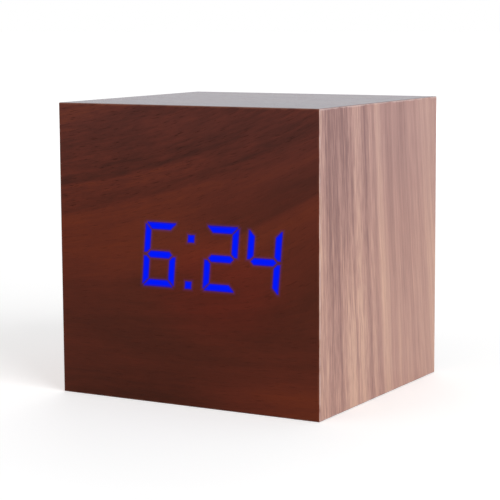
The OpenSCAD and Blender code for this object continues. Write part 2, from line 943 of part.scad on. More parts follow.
// Plug housing on its header, with grip grooves in its upper and lower faces
module plug_housing(place) {
    groove_w = 0.8;
    groove_depth = 0.4;
    groove_pitch = 1.6;
    color(white_plastic)
        on_main_board(place)
            difference() {
                block([-plug_w / 2, 0, -plug_h / 2], [plug_w / 2, plug_l, plug_h / 2]);
                for (level = [-1, 1], i = [-1, 0])
                    translate([0, plug_l - groove_pitch * (1 - i) + groove_w, level * plug_h / 2])
                        cube([plug_w + 2 * over, groove_w, 2 * groove_depth], center = true);
            }
}

module power_plug() {
    plug_housing(power_plug_place);
}

module button_plug() {
    plug_housing(button_plug_place);
}

// Moulded back cover with the battery bay, the bosses and every opening
module back_cover() {
    color(black_plastic)
        difference() {
            union() {
                along_y(cover_in_y, cover_out_y)
                    rounded_rect([0, mid_z], cover_w, cover_h, cover_corner_r);
                block([-bay_end_x - bay_wall, bay_back_y, bay_low_z], [bay_end_x + bay_wall, cover_in_y, bay_top_z]);
                at_button_screws()
                    rod_y(boss_d / 2, 0, 0, switch_low_y, cover_in_y);
            }
            bay_hollow();
            door_opening();
            plate_slots();
            at_cover_screws() {
                rod_y(screw_d / 2 + screw_clearance, 0, 0, cover_in_y - over, cover_out_y + over);
                rod_y(screw_head_d / 2 + screw_clearance, 0, 0, cover_out_y - screw_head_h, cover_out_y + over);
            }
            at_button_screws()
                rod_y(screw_d / 2 + screw_bite_clearance, 0, 0,
                    switch_low_y - over, switch_low_y + button_screw_bite + screw_clearance);
            for (x = button_x)
                rod_y(button_d / 2 + button_clearance, x, button_z, cover_in_y - over, cover_out_y + over);
            rod_y(jack_nose_d / 2 + jack_clearance, jack_x, jack_z, cover_in_y - over, cover_out_y + over);
            for (i = [0:slots_n - 1])
                along_y(cover_in_y - over, cover_out_y + over)
                    round_slot([slots_x + (i - (slots_n - 1) / 2) * slot_pitch, jack_z], slot_w, slot_l);
        }
}

// Hollow of the bay: a saddle under each cell and straight walls above
module bay_hollow() {
    for (z = row_z)
        rod_x(saddle_r, cell_axis_y, z, -bay_end_x, bay_end_x);
    block([-bay_end_x, cell_axis_y, bay_z - bay_half_h], [bay_end_x, cover_out_y + over, bay_z + bay_half_h]);
}

// Recess of the door with the bores of its hinge pins and the notch of its thumb tab
module door_opening() {
    block([-door_half_w - door_clearance, door_in_y - door_seat_gap, door_low_z - door_clearance],
        [door_half_w + door_clearance, cover_out_y + over, door_top_z + door_clearance]);
    rod_x(door_pin_d / 2 + door_pin_play, hinge_y, hinge_z,
        -door_half_w - door_pin_l - door_clearance, door_half_w + door_pin_l + door_clearance);
    block([-tab_w / 2 - tab_clearance, cover_out_y - tab_t - tab_clearance, door_top_z],
        [tab_w / 2 + tab_clearance, cover_out_y + over, door_top_z + tab_reach + tab_clearance]);
}

// Ends of a contact plate that spans one row of cells or two
function plate_low_z(first) = row_z[first] - plate_w / 2;
function plate_high_z(last) = row_z[last] + plate_w / 2;

// Slots in the bay's end walls that hold the contact plates and let their tails through
module plate_slots() {
    at_left() plate_slot(0, 0);
    at_left() plate_slot(1, 2);
    plate_slot(0, 1);
    plate_slot(2, 2);
    at_left() tail_slot(0);
    tail_slot(2);
}

module plate_slot(first, last) {
    block([bay_end_x, plate_low_y - plate_clearance, plate_low_z(first) - plate_clearance],
        [bay_end_x + plate_t + plate_clearance, door_in_y, plate_high_z(last) + plate_clearance]);
}

module tail_slot(row) {
    block([bay_end_x, bay_back_y - over, row_z[row] - tail_w / 2 - plate_clearance],
        [bay_end_x + plate_t + plate_clearance, plate_low_y, row_z[row] + tail_w / 2 + plate_clearance]);
}

// A sheet contact at the right-hand end of the bay
module contact_plate(first, last) {
    color(nickel)
        block([bay_end_x, plate_low_y, plate_low_z(first)], [bay_end_x + plate_t, plate_high_y, plate_high_z(last)]);
}

// The tail of a contact, which goes out through the bay's floor to its lead
module contact_tail(row) {
    color(nickel)
        block([bay_end_x, tail_end_y, row_z[row] - tail_w / 2],
            [bay_end_x + plate_t, plate_low_y + over, row_z[row] + tail_w / 2]);
}

module positive_plate() {
    at_left() {
        contact_plate(0, 0);
        contact_tail(0);
    }
}

module negative_plate() {
    contact_plate(2, 2);
    contact_tail(2);
}

module left_link_plate() {
    at_left()
        contact_plate(1, 2);
}

module right_link_plate() {
    contact_plate(0, 1);
}

// A cell along +X with its flat end at the origin, drawn as one revolved outline
module cell_shape() {
    r = cell_d / 2;
    edge = 0.5;
    shoulder_inset = 1;
    shoulder_h = 0.5;
    shoulder_r = r - shoulder_inset;
    body_l = cell_l - cap_h - shoulder_h;
    color(sleeve)
        rotate([0, 90, 0])
            rotate_extrude()
                polygon([
                    [0, 0], [r - edge, 0], [r, edge], [r, body_l - edge], [r - edge, body_l],
                    [shoulder_r, body_l], [shoulder_r, body_l + shoulder_h], [cap_d / 2, body_l + shoulder_h],
                    [cap_d / 2, cell_l], [0, cell_l]
                ]);
}

// A cell in its row, with its cap against the plate on one side and its flat end on the spring
module cell_in_row(row, cap_side) {
    translate([cap_side * (bay_end_x - cell_l), cell_axis_y, row_z[row]])
        mirror([cap_side < 0 ? 1 : 0, 0, 0])
            cell_shape();
}

module battery_cell_1() {
    cell_in_row(0, -1);
}

module battery_cell_2() {
    cell_in_row(1, 1);
}

module battery_cell_3() {
    cell_in_row(2, -1);
}

// Points on the middle line of a contact spring that stands on the plate at the right-hand end
spring_steps = spring_curls * curl_rings;
spring_run = spring_l - spring_wire_d - 2 * spring_seat_gap;
spring_path = [for (i = [0:spring_steps])
    let (share = i / spring_steps,
        r = spring_wide_r + (spring_narrow_r - spring_wide_r) * share,
        turn = 360 * i / curl_rings)
    [bay_end_x - spring_seat_gap - spring_wire_d / 2 - spring_run * share, r * cos(turn), r * sin(turn)]];
// Least gap between one curl and the next
spring_gap = min([for (i = [0:spring_steps], j = [i + curl_rings / 2 + 1:1:spring_steps])
    norm(spring_path[i] - spring_path[j])]) - spring_wire_d;
echo(str("least gap of a contact spring to itself, mm: ", spring_gap));

module spring_in_row(row, side) {
    color(steel)
        mirror([side < 0 ? 1 : 0, 0, 0])
            translate([0, cell_axis_y, row_z[row]])
                tube(spring_path, spring_wire_d / 2, spring_sides, [1, 0, 0]);
}

module battery_spring_1() {
    spring_in_row(0, 1);
}

module battery_spring_2() {
    spring_in_row(1, -1);
}

module battery_spring_3() {
    spring_in_row(2, 1);
}

// Battery door with a round lower edge that turns on two pins, and a latch finger between two slits
module battery_door() {
    finger_low_z = door_top_z - finger_l;
    color(black_plastic)
        difference() {
            union() {
                along_y(door_in_y, cover_out_y)
                    door_outline();
                rod_x(door_t / 2, hinge_y, hinge_z, -door_half_w, door_half_w);
                rod_x(door_pin_d / 2, hinge_y, hinge_z, -door_half_w - door_pin_l, door_half_w + door_pin_l);
                block([-tab_w / 2, cover_out_y - tab_t, door_top_z - tab_reach],
                    [tab_w / 2, cover_out_y, door_top_z + tab_reach]);
                for (i = [0:grips_n - 1])
                    translate([0, cover_out_y, finger_low_z + finger_l / 2 + (i - (grips_n - 1) / 2) * grip_pitch])
                        cube([finger_w - 2 * slit_w, 2 * grip_h, grip_w], center = true);
            }
            for (side = [-1, 1])
                translate([side * finger_w / 2, cover_out_y - door_t / 2, finger_low_z + finger_l / 2 + over])
                    cube([slit_w, door_t + 2 * over, finger_l + 2 * over], center = true);
        }
}

// Flat of the door, from its hinge line up, with round upper corners
module door_outline() {
    straight_top_z = door_top_z - door_corner_r;
    translate([-door_half_w, hinge_z])
        square([2 * door_half_w, straight_top_z - hinge_z]);
    translate([door_corner_r - door_half_w, hinge_z])
        square([2 * (door_half_w - door_corner_r), door_top_z - hinge_z]);
    for (side = [-1, 1])
        translate([side * (door_half_w - door_corner_r), straight_top_z])
            circle(door_corner_r);
}

module cover_screws() {
    color(steel)
        at_cover_screws()
            screw_to_front(cover_out_y - screw_head_h, cover_in_y - cover_screw_bite);
}

module button_board() {
    color(board_green)
        difference() {
            along_y(button_board_y, switch_low_y)
                rounded_rect([0, button_z], button_board_w, button_board_h, pcb_corner_r);
            at_button_screws()
                rod_y(screw_d / 2 + screw_clearance, 0, 0, button_board_y - over, switch_low_y + over);
        }
}

module button_board_screws() {
    color(steel)
        at_button_screws()
            mirror([0, 1, 0])
                screw_to_front(-button_board_y, -switch_low_y - button_screw_bite);
}

// A switch body with the well that its plunger travels in
module switch_body(i) {
    color(black_plastic)
        difference() {
            block([button_x[i] - switch_side / 2, switch_low_y, button_z - switch_side / 2],
                [button_x[i] + switch_side / 2, switch_top_y, button_z + switch_side / 2]);
            rod_y(plunger_d / 2 + plunger_clearance, button_x[i], button_z,
                switch_top_y - plunger_well, switch_top_y + over);
        }
}

// A switch plunger, which the button presses and which moves with it
module switch_plunger(i) {
    color(dull_white)
        rod_y(plunger_d / 2, button_x[i], button_z, switch_top_y - plunger_root, flange_front_y);
}

// A button with a flange inside the cover, a bevelled edge and a dished face
module push_button(i) {
    edge = 0.3;
    face_y = cover_out_y + button_proud;
    color(black_plastic)
        difference() {
            union() {
                rod_y(button_d / 2 + flange_w, button_x[i], button_z, flange_front_y, flange_back_y);
                rod_y(button_d / 2, button_x[i], button_z, flange_front_y, face_y - edge);
                cone_y(button_d / 2, button_d / 2 - edge, button_x[i], button_z, face_y - edge, face_y);
            }
            translate([button_x[i], face_y + dish_r - dish_depth, button_z])
                sphere(dish_r);
        }
}

module set_switch() {
    switch_body(0);
}

module up_switch() {
    switch_body(1);
}

module down_switch() {
    switch_body(2);
}

module set_plunger() {
    switch_plunger(0);
}

module up_plunger() {
    switch_plunger(1);
}

module down_plunger() {
    switch_plunger(2);
}

module set_button() {
    push_button(0);
}

module up_button() {
    push_button(1);
}

module down_button() {
    push_button(2);
}

// Power inlet: a square body behind the cover and a round nose in it, bored for a plug
module dc_jack() {
    color(black_plastic)
        difference() {
            union() {
                block([jack_x - jack_side / 2, jack_low_y, jack_z - jack_side / 2],
                    [jack_x + jack_side / 2, cover_in_y, jack_z + jack_side / 2]);
                rod_y(jack_nose_d / 2, jack_x, jack_z, cover_in_y - over, cover_out_y);
            }
            rod_y(jack_bore_d / 2, jack_x, jack_z, cover_out_y - jack_bore_depth, cover_out_y + over);
            rod_y(jack_pin_d / 2 + screw_bite_clearance, jack_x, jack_z,
                jack_pin_base_y, cover_out_y - jack_bore_depth + over);
        }
}

module dc_jack_pin() {
    color(nickel)
        rod_y(jack_pin_d / 2, jack_x, jack_z, jack_pin_base_y, cover_out_y - jack_pin_recess);
}

module dc_jack_lugs() {
    color(nickel)
        for (side = [-1, 1])
            translate([jack_x + side * lug_spread / 2, jack_low_y - lug_size[1] / 2, jack_z])
                cube(lug_size, center = true);
}

// A vector of length one
function unit(v) = v / norm(v);
// A point on a curve with two end points and two pull points
function curve_point(p, t) =
    pow(1 - t, 3) * p[0] + 3 * t * pow(1 - t, 2) * p[1] + 3 * t * t * (1 - t) * p[2] + pow(t, 3) * p[3];
// Direction of a path at one of its points
function path_direction(path, i) = unit(path[min(i + 1, len(path) - 1)] - path[max(i - 1, 0)]);

// Points of a round tube along a path, ring by ring
function tube_points(path, r, sides, across) = [
    for (i = [0:len(path) - 1])
        let (ahead = path_direction(path, i), n = unit(cross(across, ahead)), b = cross(ahead, n))
        for (j = [0:sides - 1])
            path[i] + r * (cos(360 * j / sides) * n + sin(360 * j / sides) * b)
];

// Triangles of a round tube, with a fan of triangles at each end
function tube_faces(rings, sides) = concat(
    [for (i = [0:rings - 2], j = [0:sides - 1], half = [0, 1])
        let (a = i * sides + j, b = i * sides + (j + 1) % sides)
        half == 0 ? [a, a + sides, b + sides] : [a, b + sides, b]],
    [for (j = [1:sides - 2]) [0, j, j + 1]],
    [for (j = [1:sides - 2]) let (last = (rings - 1) * sides) [last, last + j + 1, last + j]]
);

// One unbroken tube along a path
module tube(path, r, sides, across) {
    polyhedron(tube_points(path, r, sides, across), tube_faces(len(path), sides));
}

// A lead from its place in the power plug to the end of a contact, straight and square at both ends
module lead(plug_position, end) {
    start = [power_plug_place[0] + plug_position * lead_pitch, plug_back_y, mid_z + power_plug_place[1]];
    stub = [0, lead_d, 0];
    pull = [0, lead_straight, 0];
    pulls = [start + stub, start + pull, end - pull, end - stub];
    bend = [for (i = [0:lead_rings - 1]) curve_point(pulls, i / (lead_rings - 1))];
    tube(concat([start], bend, [end]), lead_d / 2, lead_sides, [0, 0, 1]);
}

module battery_lead_red() {
    color("crimson")
        lead(-1.5, [-bay_end_x - plate_t / 2, tail_end_y, row_z[0]]);
}

module battery_lead_black() {
    color("black")
        lead(1.5, [bay_end_x + plate_t / 2, tail_end_y, row_z[2]]);
}

module jack_lead_red() {
    color("crimson")
        lead(-0.5, [jack_x - lug_spread / 2, jack_low_y - lug_size[1], jack_z]);
}

module jack_lead_black() {
    color("black")
        lead(0.5, [jack_x + lug_spread / 2, jack_low_y - lug_size[1], jack_z]);
}

// Flat ribbon from the button plug to the front of the button board
module button_ribbon() {
    start = [plug_back_y, mid_z + button_plug_place[1]];
    end = [button_board_y, button_z];
    pulls = [start, start + [lead_straight, 0], end - [lead_straight, 0], end];
    path = [for (i = [0:lead_rings - 1]) curve_point(pulls, i / (lead_rings - 1))];
    upper = [for (i = [0:lead_rings - 1]) path[i] + ribbon_t / 2 * level_normal(path, i)];
    lower = [for (i = [lead_rings - 1:-1:0]) path[i] - ribbon_t / 2 * level_normal(path, i)];
    color("gray")
        along_x(button_plug_place[0] - ribbon_w / 2, button_plug_place[0] + ribbon_w / 2)
            polygon(concat(upper, lower));
}

// Upward normal of a flat path, level with Y at the two ends
function level_normal(path, i) =
    i == 0 || i == len(path) - 1 ? [0, 1] : let (ahead = path_direction(path, i)) [-ahead[1], ahead[0]];

front_board();
top_board();
bottom_board();
left_board();
right_board();
front_veneer();
top_veneer();
bottom_veneer();
left_veneer();
right_veneer();
rear_edging();
corner_blocks();
light_baffle();
lit_segments();
dark_segments();
led_chips();
main_board();
board_screws();
clock_chip();
crystal();
buzzer();
capacitor();
sound_sensor();
resistors();
power_plug();
button_plug();
back_cover();
cover_screws();
button_board();
button_board_screws();
set_switch();
up_switch();
down_switch();
set_plunger();
up_plunger();
down_plunger();
set_button();
up_button();
down_button();
dc_jack();
dc_jack_pin();
dc_jack_lugs();
battery_door();
battery_cell_1();
battery_cell_2();
battery_cell_3();
battery_spring_1();
battery_spring_2();
battery_spring_3();
positive_plate();
negative_plate();
left_link_plate();
right_link_plate();
battery_lead_red();
battery_lead_black();
jack_lead_red();
jack_lead_black();
button_ribbon();
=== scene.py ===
"""Dresses a box clock in wood veneer, models its small fittings and sets up the studio and the camera.

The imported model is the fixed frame. Lengths are metres unless a name ends in _mm, Z is up, and the front with
the lit digits faces -Y.
"""

import json
import logging
import math
from dataclasses import dataclass
from enum import Enum
from typing import Optional, Sequence, Union

import bpy
from mathutils import Matrix, Vector

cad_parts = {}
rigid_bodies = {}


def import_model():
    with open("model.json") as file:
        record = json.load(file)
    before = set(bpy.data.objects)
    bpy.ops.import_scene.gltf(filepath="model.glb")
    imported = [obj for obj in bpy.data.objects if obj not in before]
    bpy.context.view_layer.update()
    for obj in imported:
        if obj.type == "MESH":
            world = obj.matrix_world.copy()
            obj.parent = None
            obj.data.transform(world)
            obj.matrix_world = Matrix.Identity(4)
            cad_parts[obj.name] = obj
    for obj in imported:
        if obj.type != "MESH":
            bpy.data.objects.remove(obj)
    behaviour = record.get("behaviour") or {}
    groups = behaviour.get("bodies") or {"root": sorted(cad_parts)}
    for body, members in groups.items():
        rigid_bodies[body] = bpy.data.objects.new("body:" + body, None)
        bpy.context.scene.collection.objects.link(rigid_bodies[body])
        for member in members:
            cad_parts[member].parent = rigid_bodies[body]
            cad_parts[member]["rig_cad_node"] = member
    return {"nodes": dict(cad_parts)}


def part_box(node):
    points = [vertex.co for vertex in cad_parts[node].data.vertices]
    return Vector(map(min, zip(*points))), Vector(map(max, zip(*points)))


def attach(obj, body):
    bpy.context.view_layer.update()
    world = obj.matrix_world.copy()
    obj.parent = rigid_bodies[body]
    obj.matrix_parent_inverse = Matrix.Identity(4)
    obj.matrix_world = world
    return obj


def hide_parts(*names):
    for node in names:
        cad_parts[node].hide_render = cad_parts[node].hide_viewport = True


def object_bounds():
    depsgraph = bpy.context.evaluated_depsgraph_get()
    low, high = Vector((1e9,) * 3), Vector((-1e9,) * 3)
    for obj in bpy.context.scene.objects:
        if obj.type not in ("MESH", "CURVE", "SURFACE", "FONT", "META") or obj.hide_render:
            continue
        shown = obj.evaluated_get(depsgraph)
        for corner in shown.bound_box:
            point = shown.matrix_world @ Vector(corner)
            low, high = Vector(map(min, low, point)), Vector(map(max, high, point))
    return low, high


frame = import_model()
CAD_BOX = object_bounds()

LOG = logging.getLogger("clock")
MM = 0.001

Pair = tuple[float, float]
Pairs = tuple[Pair, ...]
Profile = list[Pair]
Triple = tuple[float, float, float]
Colour = Triple
Points = Sequence[Triple]
Piece = bpy.types.Object
Socket = bpy.types.NodeSocket
Value = Union[float, Colour, Socket]

BLACK: Colour = (0.0, 0.0, 0.0)
WHITE: Colour = (1.0, 1.0, 1.0)
CASE_SIZE = CAD_BOX[1] - CAD_BOX[0]
CASE_MIDDLE = (CAD_BOX[0] + CAD_BOX[1]) / 2
FORWARD = Vector((0.0, -1.0, 0.0))


class Body(Enum):
    """Bodies of the frame that pieces ride on."""

    CASE = "case"
    DOOR = "battery_door"


class Axis(Enum):
    """Axes of the object's frame, by their place in a vector."""

    X = 0
    Y = 1
    Z = 2


class Slot(Enum):
    """Material slots of the record that modelled pieces belong to."""

    WALNUT_VENEER = "walnut_veneer"
    LIT_SEGMENT = "lit_segment"
    BLACK_COVER = "black_cover"
    WHITE_MOULDING = "white_moulding"
    SCREW_STEEL = "screw_steel"
    CELL_SLEEVE = "cell_sleeve"
    BRIGHT_METAL = "bright_metal"


class Calc(Enum):
    """Operations of a Math node."""

    ADD = "ADD"
    SUBTRACT = "SUBTRACT"
    MULTIPLY = "MULTIPLY"
    MULTIPLY_ADD = "MULTIPLY_ADD"
    DIVIDE = "DIVIDE"
    POWER = "POWER"
    MINIMUM = "MINIMUM"
    MAXIMUM = "MAXIMUM"
    ABSOLUTE = "ABSOLUTE"
    GREATER_THAN = "GREATER_THAN"
    FRACT = "FRACT"
    SNAP = "SNAP"
    SINE = "SINE"
    ARCTAN2 = "ARCTAN2"


class Blend(Enum):
    """Ways to lay one colour over another."""

    MIX = "MIX"
    MULTIPLY = "MULTIPLY"


def shaded(colour: Colour, gain: float, lift: float = 0.0) -> Colour:
    """Returns a colour with each of its parts times a gain, plus a lift."""
    red, green, blue = (part * gain + lift for part in colour)
    return red, green, blue


class Graph:
    """Plain words for adding and wiring the nodes of one shader tree."""

    def __init__(self, tree: bpy.types.NodeTree) -> None:
        """Takes the tree to draw in."""
        self.tree = tree

    def node(self, kind: str, **settings: object) -> bpy.types.Node:
        """Adds a node.

        Args:
            kind: The node's type without its ShaderNode prefix.
            settings: Attributes of the node to set.

        Returns:
            The new node.
        """
        made = self.tree.nodes.new("ShaderNode" + kind)
        for name, value in settings.items():
            setattr(made, name, value)
        return made

    def feed(self, socket: Socket, value: Value) -> None:
        """Links a socket to another one, or sets its own constant.

        Args:
            socket: The input to feed.
            value: An output to link, a number, or a colour or vector.
        """
        if isinstance(value, bpy.types.NodeSocket):
            self.tree.links.new(value, socket)
        elif socket.type == "RGBA":
            socket.default_value = (*value, 1.0)
        else:
            socket.default_value = value

    def feed_all(self, node: bpy.types.Node, **values: Value) -> None:
        """Feeds inputs by name, with _ written for a space in the name."""
        for name, value in values.items():
            self.feed(node.inputs[name.replace("_", " ")], value)

    def math(self, operation: Calc, *values: Value) -> Socket:
        """Adds a Math node.

        Args:
            operation: The node's operation.
            values: Up to three values.

        Returns:
            The result.
        """
        node = self.node("Math", operation=operation.value)
        for socket, value in zip(node.inputs, values):
            self.feed(socket, value)
        return node.outputs[0]

    def plus(self, a: Value, b: Value) -> Socket:
        """Returns the sum of two values."""
        return self.math(Calc.ADD, a, b)

    def minus(self, a: Value, b: Value) -> Socket:
        """Returns the difference of two values."""
        return self.math(Calc.SUBTRACT, a, b)

    def times(self, a: Value, b: Value) -> Socket:
        """Returns the product of two values."""
        return self.math(Calc.MULTIPLY, a, b)

    def larger(self, a: Value, b: Value) -> Socket:
        """Returns the larger of two values."""
        return self.math(Calc.MAXIMUM, a, b)

    def unsigned(self, value: Value) -> Socket:
        """Returns a value without its sign."""
        return self.math(Calc.ABSOLUTE, value)

    def scaled(self, value: Value, factor: Value, shift: Value) -> Socket:
        """Returns value times factor plus shift."""
        return self.math(Calc.MULTIPLY_ADD, value, factor, shift)

    def swing(self, value: Value, reach: float) -> Socket:
        """Returns a value of 0 to 1 as a swing from -reach to reach."""
        return self.scaled(value, 2 * reach, -reach)

    def between(
        self, value: Value, low: float, high: float, out_low: float = 0.0, out_high: float = 1.0
    ) -> Socket:
        """Eases a value from one range to another.

        Args:
            value: The value to map.
            low: Where the range starts.
            high: Where the range ends.
            out_low: The result at and before low.
            out_high: The result at and after high.

        Returns:
            The eased result.
        """
        node = self.node("MapRange", interpolation_type="SMOOTHSTEP")
        self.feed_all(node, Value=value, From_Min=low, From_Max=high, To_Min=out_low, To_Max=out_high)
        return node.outputs[0]

    def vector(self, x: Value, y: Value, z: Value) -> Socket:
        """Puts three values together.

        Args:
            x: The first value.
            y: The second value.
            z: The third value.

        Returns:
            The vector.
        """
        node = self.node("CombineXYZ")
        self.feed_all(node, X=x, Y=y, Z=z)
        return node.outputs[0]

    def split(self, vector: Socket) -> list[Socket]:
        """Takes a vector apart.

        Args:
            vector: The vector.

        Returns:
            Its three values.
        """
        node = self.node("SeparateXYZ")
        self.feed(node.inputs[0], vector)
        return list(node.outputs)

    def length(self, vector: Socket) -> Socket:
        """Measures a vector.

        Args:
            vector: The vector.

        Returns:
            Its length.
        """
        node = self.node("VectorMath", operation="LENGTH")
        self.feed(node.inputs[0], vector)
        return node.outputs["Value"]

    def stretched(self, vector: Socket, factor: Value) -> Socket:
        """Scales a vector.

        Args:
            vector: The vector.
            factor: What to multiply it by.

        Returns:
            The scaled vector.
        """
        node = self.node("VectorMath", operation="SCALE")
        self.feed(node.inputs[0], vector)
        self.feed(node.inputs["Scale"], factor)
        return node.outputs[0]

    def place_mm(self) -> Socket:
        """Returns the object coordinates in millimetres."""
        return self.stretched(self.node("TexCoord").outputs["Object"], 1 / MM)

    def share_of(self, attribute: str) -> Socket:
        """Returns the share that an attribute marks on the surface, or 0 on a mesh without it."""
        return self.node("Attribute", attribute_name=attribute).outputs["Fac"]

    def noise(
        self, vector: Socket, scale: float = 1.0, detail: float = 2.0, roughness: float = 0.5
    ) -> Socket:
        """Adds a noise texture.

        Args:
            vector: Where to read it.
            scale: How many of its waves fit in a length of 1.
            detail: How many finer waves are added.
            roughness: Share of each finer wave.

        Returns:
            A value from 0 to 1.
        """
        node = self.node("TexNoise")
        self.feed_all(node, Vector=vector, Scale=scale, Detail=detail, Roughness=roughness)
        return node.outputs[0]

    def cells(self, vector: Socket, scale: float) -> Socket:
        """Adds a Voronoi pattern.

        Args:
            vector: Where to read it.
            scale: How many of its cells fit in a length of 1.

        Returns:
            The distance from the middle of the nearest cell.
        """
        node = self.node("TexVoronoi")
        self.feed_all(node, Vector=vector, Scale=scale)
        return node.outputs["Distance"]

    def colours(self, value: Value, stops: Sequence[tuple[float, Colour]]) -> Socket:
        """Returns a colour read from a ramp.

        Args:
            value: Where to read, from 0 to 1.
            stops: Places on the ramp, in order, and their colours.

        Returns:
            The colour.
        """
        node = self.node("ValToRGB")
        elements = node.color_ramp.elements
        elements[0].position, elements[1].position = stops[0][0], stops[-1][0]
        for place, _ in stops[1:-1]:
            elements.new(place)
        for element, (_, colour) in zip(elements, stops):
            element.color = (*colour, 1.0)
        self.feed(node.inputs[0], value)
        return node.outputs[0]

    def levels(self, value: Value, stops: Sequence[Pair]) -> Socket:
        """Returns a grey level read from a ramp, as colours() does."""
        return self.colours(value, [(place, (level, level, level)) for place, level in stops])

    def mix(self, factor: Value, a: Value, b: Value, blend: Blend = Blend.MIX) -> Socket:
        """Mixes two colours or values.

        Args:
            factor: Share of the second one.
            a: The first one.
            b: The second one.
            blend: How they are blended.

        Returns:
            The mixed colour.
        """
        node = self.node("Mix", data_type="RGBA", blend_type=blend.value)
        factor_input, first_input, second_input = node.inputs[0], node.inputs[6], node.inputs[7]
        self.feed(factor_input, factor)
        self.feed(first_input, a)
        self.feed(second_input, b)
        return node.outputs[2]

    def bump(self, height: Socket, depth_mm: float, strength: float) -> Socket:
        """Returns a normal from a height of 0 to 1.

        Args:
            height: The height value.
            depth_mm: How far a height of 1 stands out.
            strength: Share of the effect.

        Returns:
            The bent normal.
        """
        node = self.node("Bump")
        self.feed_all(node, Height=height, Distance=depth_mm * MM, Strength=strength)
        return node.outputs[0]


class Effect:
    """A shader node group that is drawn once and placed in each material with its own values."""

    name: str = ""
    inputs: Sequence[tuple[str, str]] = ()
    outputs: Sequence[str] = ()

    def draw(self, graph: Graph, given: dict[str, Socket]) -> dict[str, Socket]:
        """Draws the inside of the group.

        Args:
            graph: The group's own tree.
            given: The group's inputs by name.

        Returns:
            What to put out, by name.
        """
        raise NotImplementedError

    def tree(self) -> bpy.types.NodeTree:
        """Draws the group on its first use.

        Returns:
            The group's tree.
        """
        known = bpy.data.node_groups.get(self.name)
        if known is not None:
            return known
        tree = bpy.data.node_groups.new(self.name, "ShaderNodeTree")
        for name, kind in self.inputs:
            tree.interface.new_socket(name, in_out="INPUT", socket_type=kind)
        for name in self.outputs:
            tree.interface.new_socket(name, in_out="OUTPUT", socket_type="NodeSocketFloat")
        source = tree.nodes.new("NodeGroupInput")
        target = tree.nodes.new("NodeGroupOutput")
        made = self.draw(Graph(tree), {name: source.outputs[name] for name, _ in self.inputs})
        for name in self.outputs:
            tree.links.new(made[name], target.inputs[name])
        return tree

    def put(self, graph: Graph, **values: Value) -> dict[str, Socket]:
        """Places the group in a material.

        Args:
            graph: The material's tree.
            values: What to feed to the group's inputs.

        Returns:
            The group's outputs by name.
        """
        node = graph.node("Group", node_tree=self.tree())
        graph.feed_all(node, **values)
        return {name: node.outputs[name] for name in self.outputs}


@dataclass(frozen=True)
class MarkNoise:
    """A noise of marks along the grain: their size, its shift and detail, and which of its values show."""

    length_mm: float
    width_mm: float
    shift: float
    detail: float
    shown: Pair


class WoodFigure(Effect):
    """Streaks, patches, fibres, open pores and flecks that run along the grain."""

    name = "wood figure"
    inputs = (("Along", "NodeSocketFloat"), ("Across", "NodeSocketFloat"), ("Seed", "NodeSocketFloat"))
    outputs = ("Streaks", "Patches", "Fibres", "Pores", "Flecks")
    roughness: float = 0.6
    noises: dict[str, MarkNoise] = {
        "Streaks": MarkNoise(length_mm=45.0, width_mm=1.7, shift=0.0, detail=4.0, shown=(0.28, 0.72)),
        "Patches": MarkNoise(length_mm=24.0, width_mm=6.0, shift=37.0, detail=2.0, shown=(0.3, 0.7)),
        "Fibres": MarkNoise(length_mm=9.0, width_mm=0.26, shift=11.0, detail=3.0, shown=(0.3, 0.7)),
        "Pores": MarkNoise(length_mm=2.6, width_mm=0.24, shift=23.0, detail=1.0, shown=(0.6, 0.74)),
        "Flecks": MarkNoise(length_mm=3.4, width_mm=0.7, shift=59.0, detail=3.0, shown=(0.3, 0.7)),
    }

    def draw(self, graph: Graph, given: dict[str, Socket]) -> dict[str, Socket]:
        """Draws five noises, each stretched along the grain.

        Args:
            graph: The group's own tree.
            given: The distances along and across the grain, and a seed.

        Returns:
            A mask of each kind of mark, by name.
        """
        made = {}
        for kind, marks in self.noises.items():
            along = graph.times(given["Along"], 1 / marks.length_mm)
            across = graph.times(given["Across"], 1 / marks.width_mm)
            place = graph.vector(along, across, graph.plus(given["Seed"], marks.shift))
            noise = graph.noise(place, detail=marks.detail, roughness=self.roughness)
            made[kind] = graph.between(noise, *marks.shown)
        return made


class EdgeWearAndHighlight(Effect):
    """A mask along the outer edges of the case, rubbed away unevenly, where wear and a painted highlight
    lighten the veneer.
    """

    name = "case edge wear and highlight"
    inputs = (("Place", "NodeSocketVector"), ("Width", "NodeSocketFloat"))
    outputs = ("Edge",)
    patch_scale: float = 0.35
    patch_shown: Pair = (0.35, 0.6)
    least_width: float = 0.35
    full_share: float = 0.2

    def draw(self, graph: Graph, given: dict[str, Socket]) -> dict[str, Socket]:
        """Measures how near the second nearest side of the box is.

        Args:
            graph: The group's own tree.
            given: The point in millimetres and the width of the worn edge.

        Returns:
            The mask, by name.
        """
        depths = []
        for value, size, middle in zip(graph.split(given["Place"]), CASE_SIZE, CASE_MIDDLE):
            off_middle = graph.unsigned(graph.minus(value, middle / MM))
            depths.append(graph.minus(size / 2 / MM, off_middle))
        x, y, z = depths
        nearest = graph.math(Calc.MINIMUM, graph.math(Calc.MINIMUM, x, y), z)
        farthest = graph.larger(graph.larger(x, y), z)
        total = graph.plus(graph.plus(x, y), z)
        second = graph.minus(graph.minus(total, nearest), farthest)
        patches = graph.noise(given["Place"], scale=self.patch_scale, detail=3.0)
        rubbed = graph.between(patches, *self.patch_shown, self.least_width, 1.0)
        share = graph.math(Calc.DIVIDE, second, graph.times(given["Width"], rubbed))
        return {"Edge": graph.between(share, 1.0, self.full_share)}


